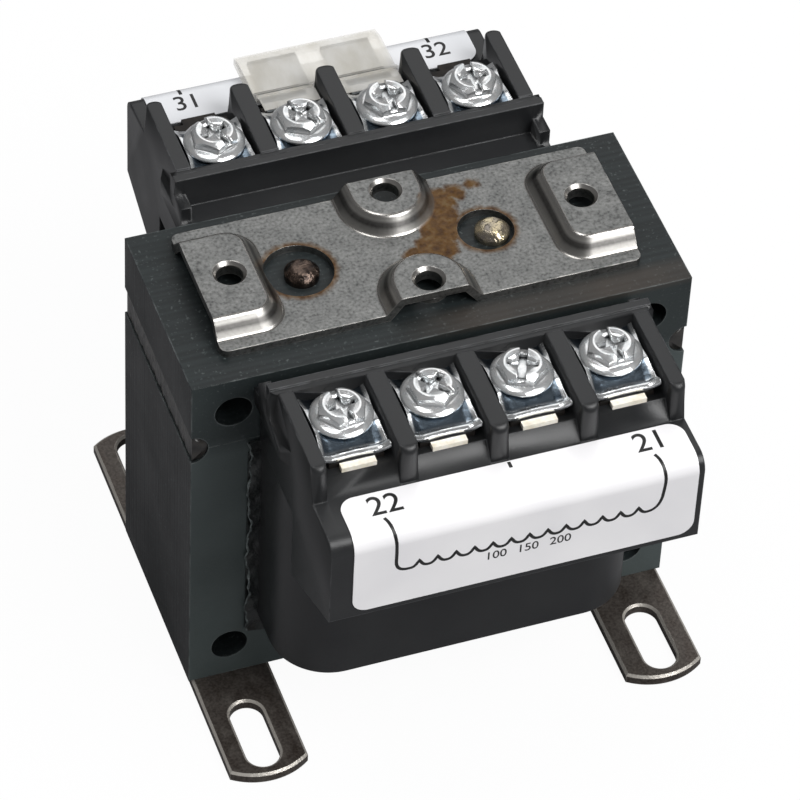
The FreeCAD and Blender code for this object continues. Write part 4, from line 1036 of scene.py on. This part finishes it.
LOOPS = 14
LOOPS_LEFT = -17.6 * MM
LOOPS_RIGHT = 20.8 * MM
LOOPS_LEVEL = 55.2 * MM
LOOP_RISE = 1.3 * MM
LOOP_STEPS = 16
loop_width = (LOOPS_RIGHT - LOOPS_LEFT) / LOOPS
loops_at = down_face(LOOPS_LEVEL)
winding = []
for number in range(LOOPS):
    for step in range(LOOP_STEPS):
        share = step / LOOP_STEPS
        dip = 1 - abs(2 * share - 1) ** 2.6
        if 0.4 < number + share < LOOPS - 0.4:
            winding.append((LOOPS_LEFT + loop_width * (number + share), loops_at + LOOP_RISE * (dip - 0.5)))
left, right = -18.3 * MM, 21.6 * MM
left_drop = bend((-19.2 * MM, 5.0 * MM), (-18.2 * MM, 7.0 * MM), (left, loops_at - 1.5 * MM), 14)
left_turn = bend((left, loops_at - 1.4 * MM), (left, loops_at + 0.7 * MM), winding[0], 8)[:-1]
right_turn = bend(winding[-1], (21.2 * MM, loops_at + 0.5 * MM), (right, loops_at - 1.9 * MM), 8)[1:]
right_drop = bend((right, loops_at - 2.0 * MM), (22.3 * MM, 7.5 * MM), (21.2 * MM, 5.0 * MM), 14)
build = bmesh.new()
print_line(build, -1, left_drop + left_turn + winding + right_turn + right_drop)
print_line(build, -1, steps((1.0 * MM, 0.2 * MM), (1.0 * MM, 1.3 * MM), 2))
print_text(build, -1, "22", BIG_TEXT, -18.3 * MM, 2.7 * MM)
print_text(build, -1, "21", BIG_TEXT, 21.5 * MM, 2.5 * MM)
for number, x in (("100", -3.3), ("150", 1.5), ("200", 6.4)):
    print_text(build, -1, number, SMALL_TEXT, x * MM, down_face(53.0 * MM))
front_print = link_mesh("front_label_print", build)
build = bmesh.new()
for number, x, along, tick in (("31", -19.8, 3.6, -20.2), ("32", 19.8, 3.6, 19.4)):
    print_text(build, 1, number, REAR_TEXT, x * MM, along * MM)
    print_line(build, 1, steps((tick * MM, (along + 2.0) * MM), (tick * MM, (along + 3.8) * MM), 6))
rear_print = link_mesh("rear_label_print", build)
for piece in (front_print, rear_print):
    piece.data.materials.append(ink)
    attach(piece, "root")


# Sleeve and jumper links
# Two flat steel links in a folded sleeve of milky film, which is creased and lets the links
# show through as grey patches. Film and links reach under the screws of the two inner cells.
sleeve_film, tree, shader = new_material("milky_film", "#f3f0e9", 0.3, Alpha=0.34)
creases = noise(tree, 3.5 * MM, 5.0, (1, 2, 1))
tree.links.new(ramp(tree, creases, (0.3, "#e6e2d8"), (0.65, "#f9f7f2")), shader.inputs["Base Color"])
bump(tree, shader, creases, 0.6 * MM)
dress(sleeve_film, "jumper_sleeve")
link_steel, tree, shader = new_material("plated_link_steel", "#666a6c", 0.3, Metallic=1.0)
shades = ramp(tree, noise(tree, 1.5 * MM), (0.3, "#5b5f61"), (0.7, "#7c8082"))
tree.links.new(shades, shader.inputs["Base Color"])
dress(link_steel, "jumper_link_1", "jumper_link_2")


def strip(build, low, high, points, thick):
    """A bent strip between two places across, along points of reach and level, in millimetres."""
    outline = ((low, 0), (high, 0), (high, thick), (low, thick))
    rows = []
    for reach, level in points:
        rows.append([build.verts.new((x * MM, reach * MM, (level + lift) * MM)) for x, lift in outline])
    for before, after in zip(rows, rows[1:]):
        for index in range(4):
            following = (index + 1) % 4
            build.faces.new((before[index], before[following], after[following], after[index]))
    build.faces.new(rows[0])
    build.faces.new(rows[-1][::-1])


FILM_PATH = ((39.0, 65.2), (38.2, 65.5), (37.2, 65.95), (36.0, 66.12), (34.6, 66.15))
FILM_SPANS = ((1.7, 11.4), (-10.5, -1.7))
FILM_SHEET = 0.15
TAB_PATH = ((40.5, 64.2), (39.0, 64.7), (38.0, 65.3), (37.2, 65.75), (36.0, 65.8), (34.3, 65.8))
TAB_SPANS = ((3.2, 10.2), (-10.2, -3.2))
TAB_SHEET = 0.3
mouths, tabs = bmesh.new(), bmesh.new()
for low, high in FILM_SPANS:
    strip(mouths, low, high, FILM_PATH, FILM_SHEET)
for low, high in TAB_SPANS:
    strip(tabs, low, high, TAB_PATH, TAB_SHEET)
for name, build, finish, slot in (
    ("sleeve_mouths", mouths, sleeve_film, "clear_film"),
    ("link_tabs", tabs, link_steel, "zinc_steel"),
):
    piece = link_mesh(name, build)
    piece.data.materials.append(finish)
    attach(piece, "root")
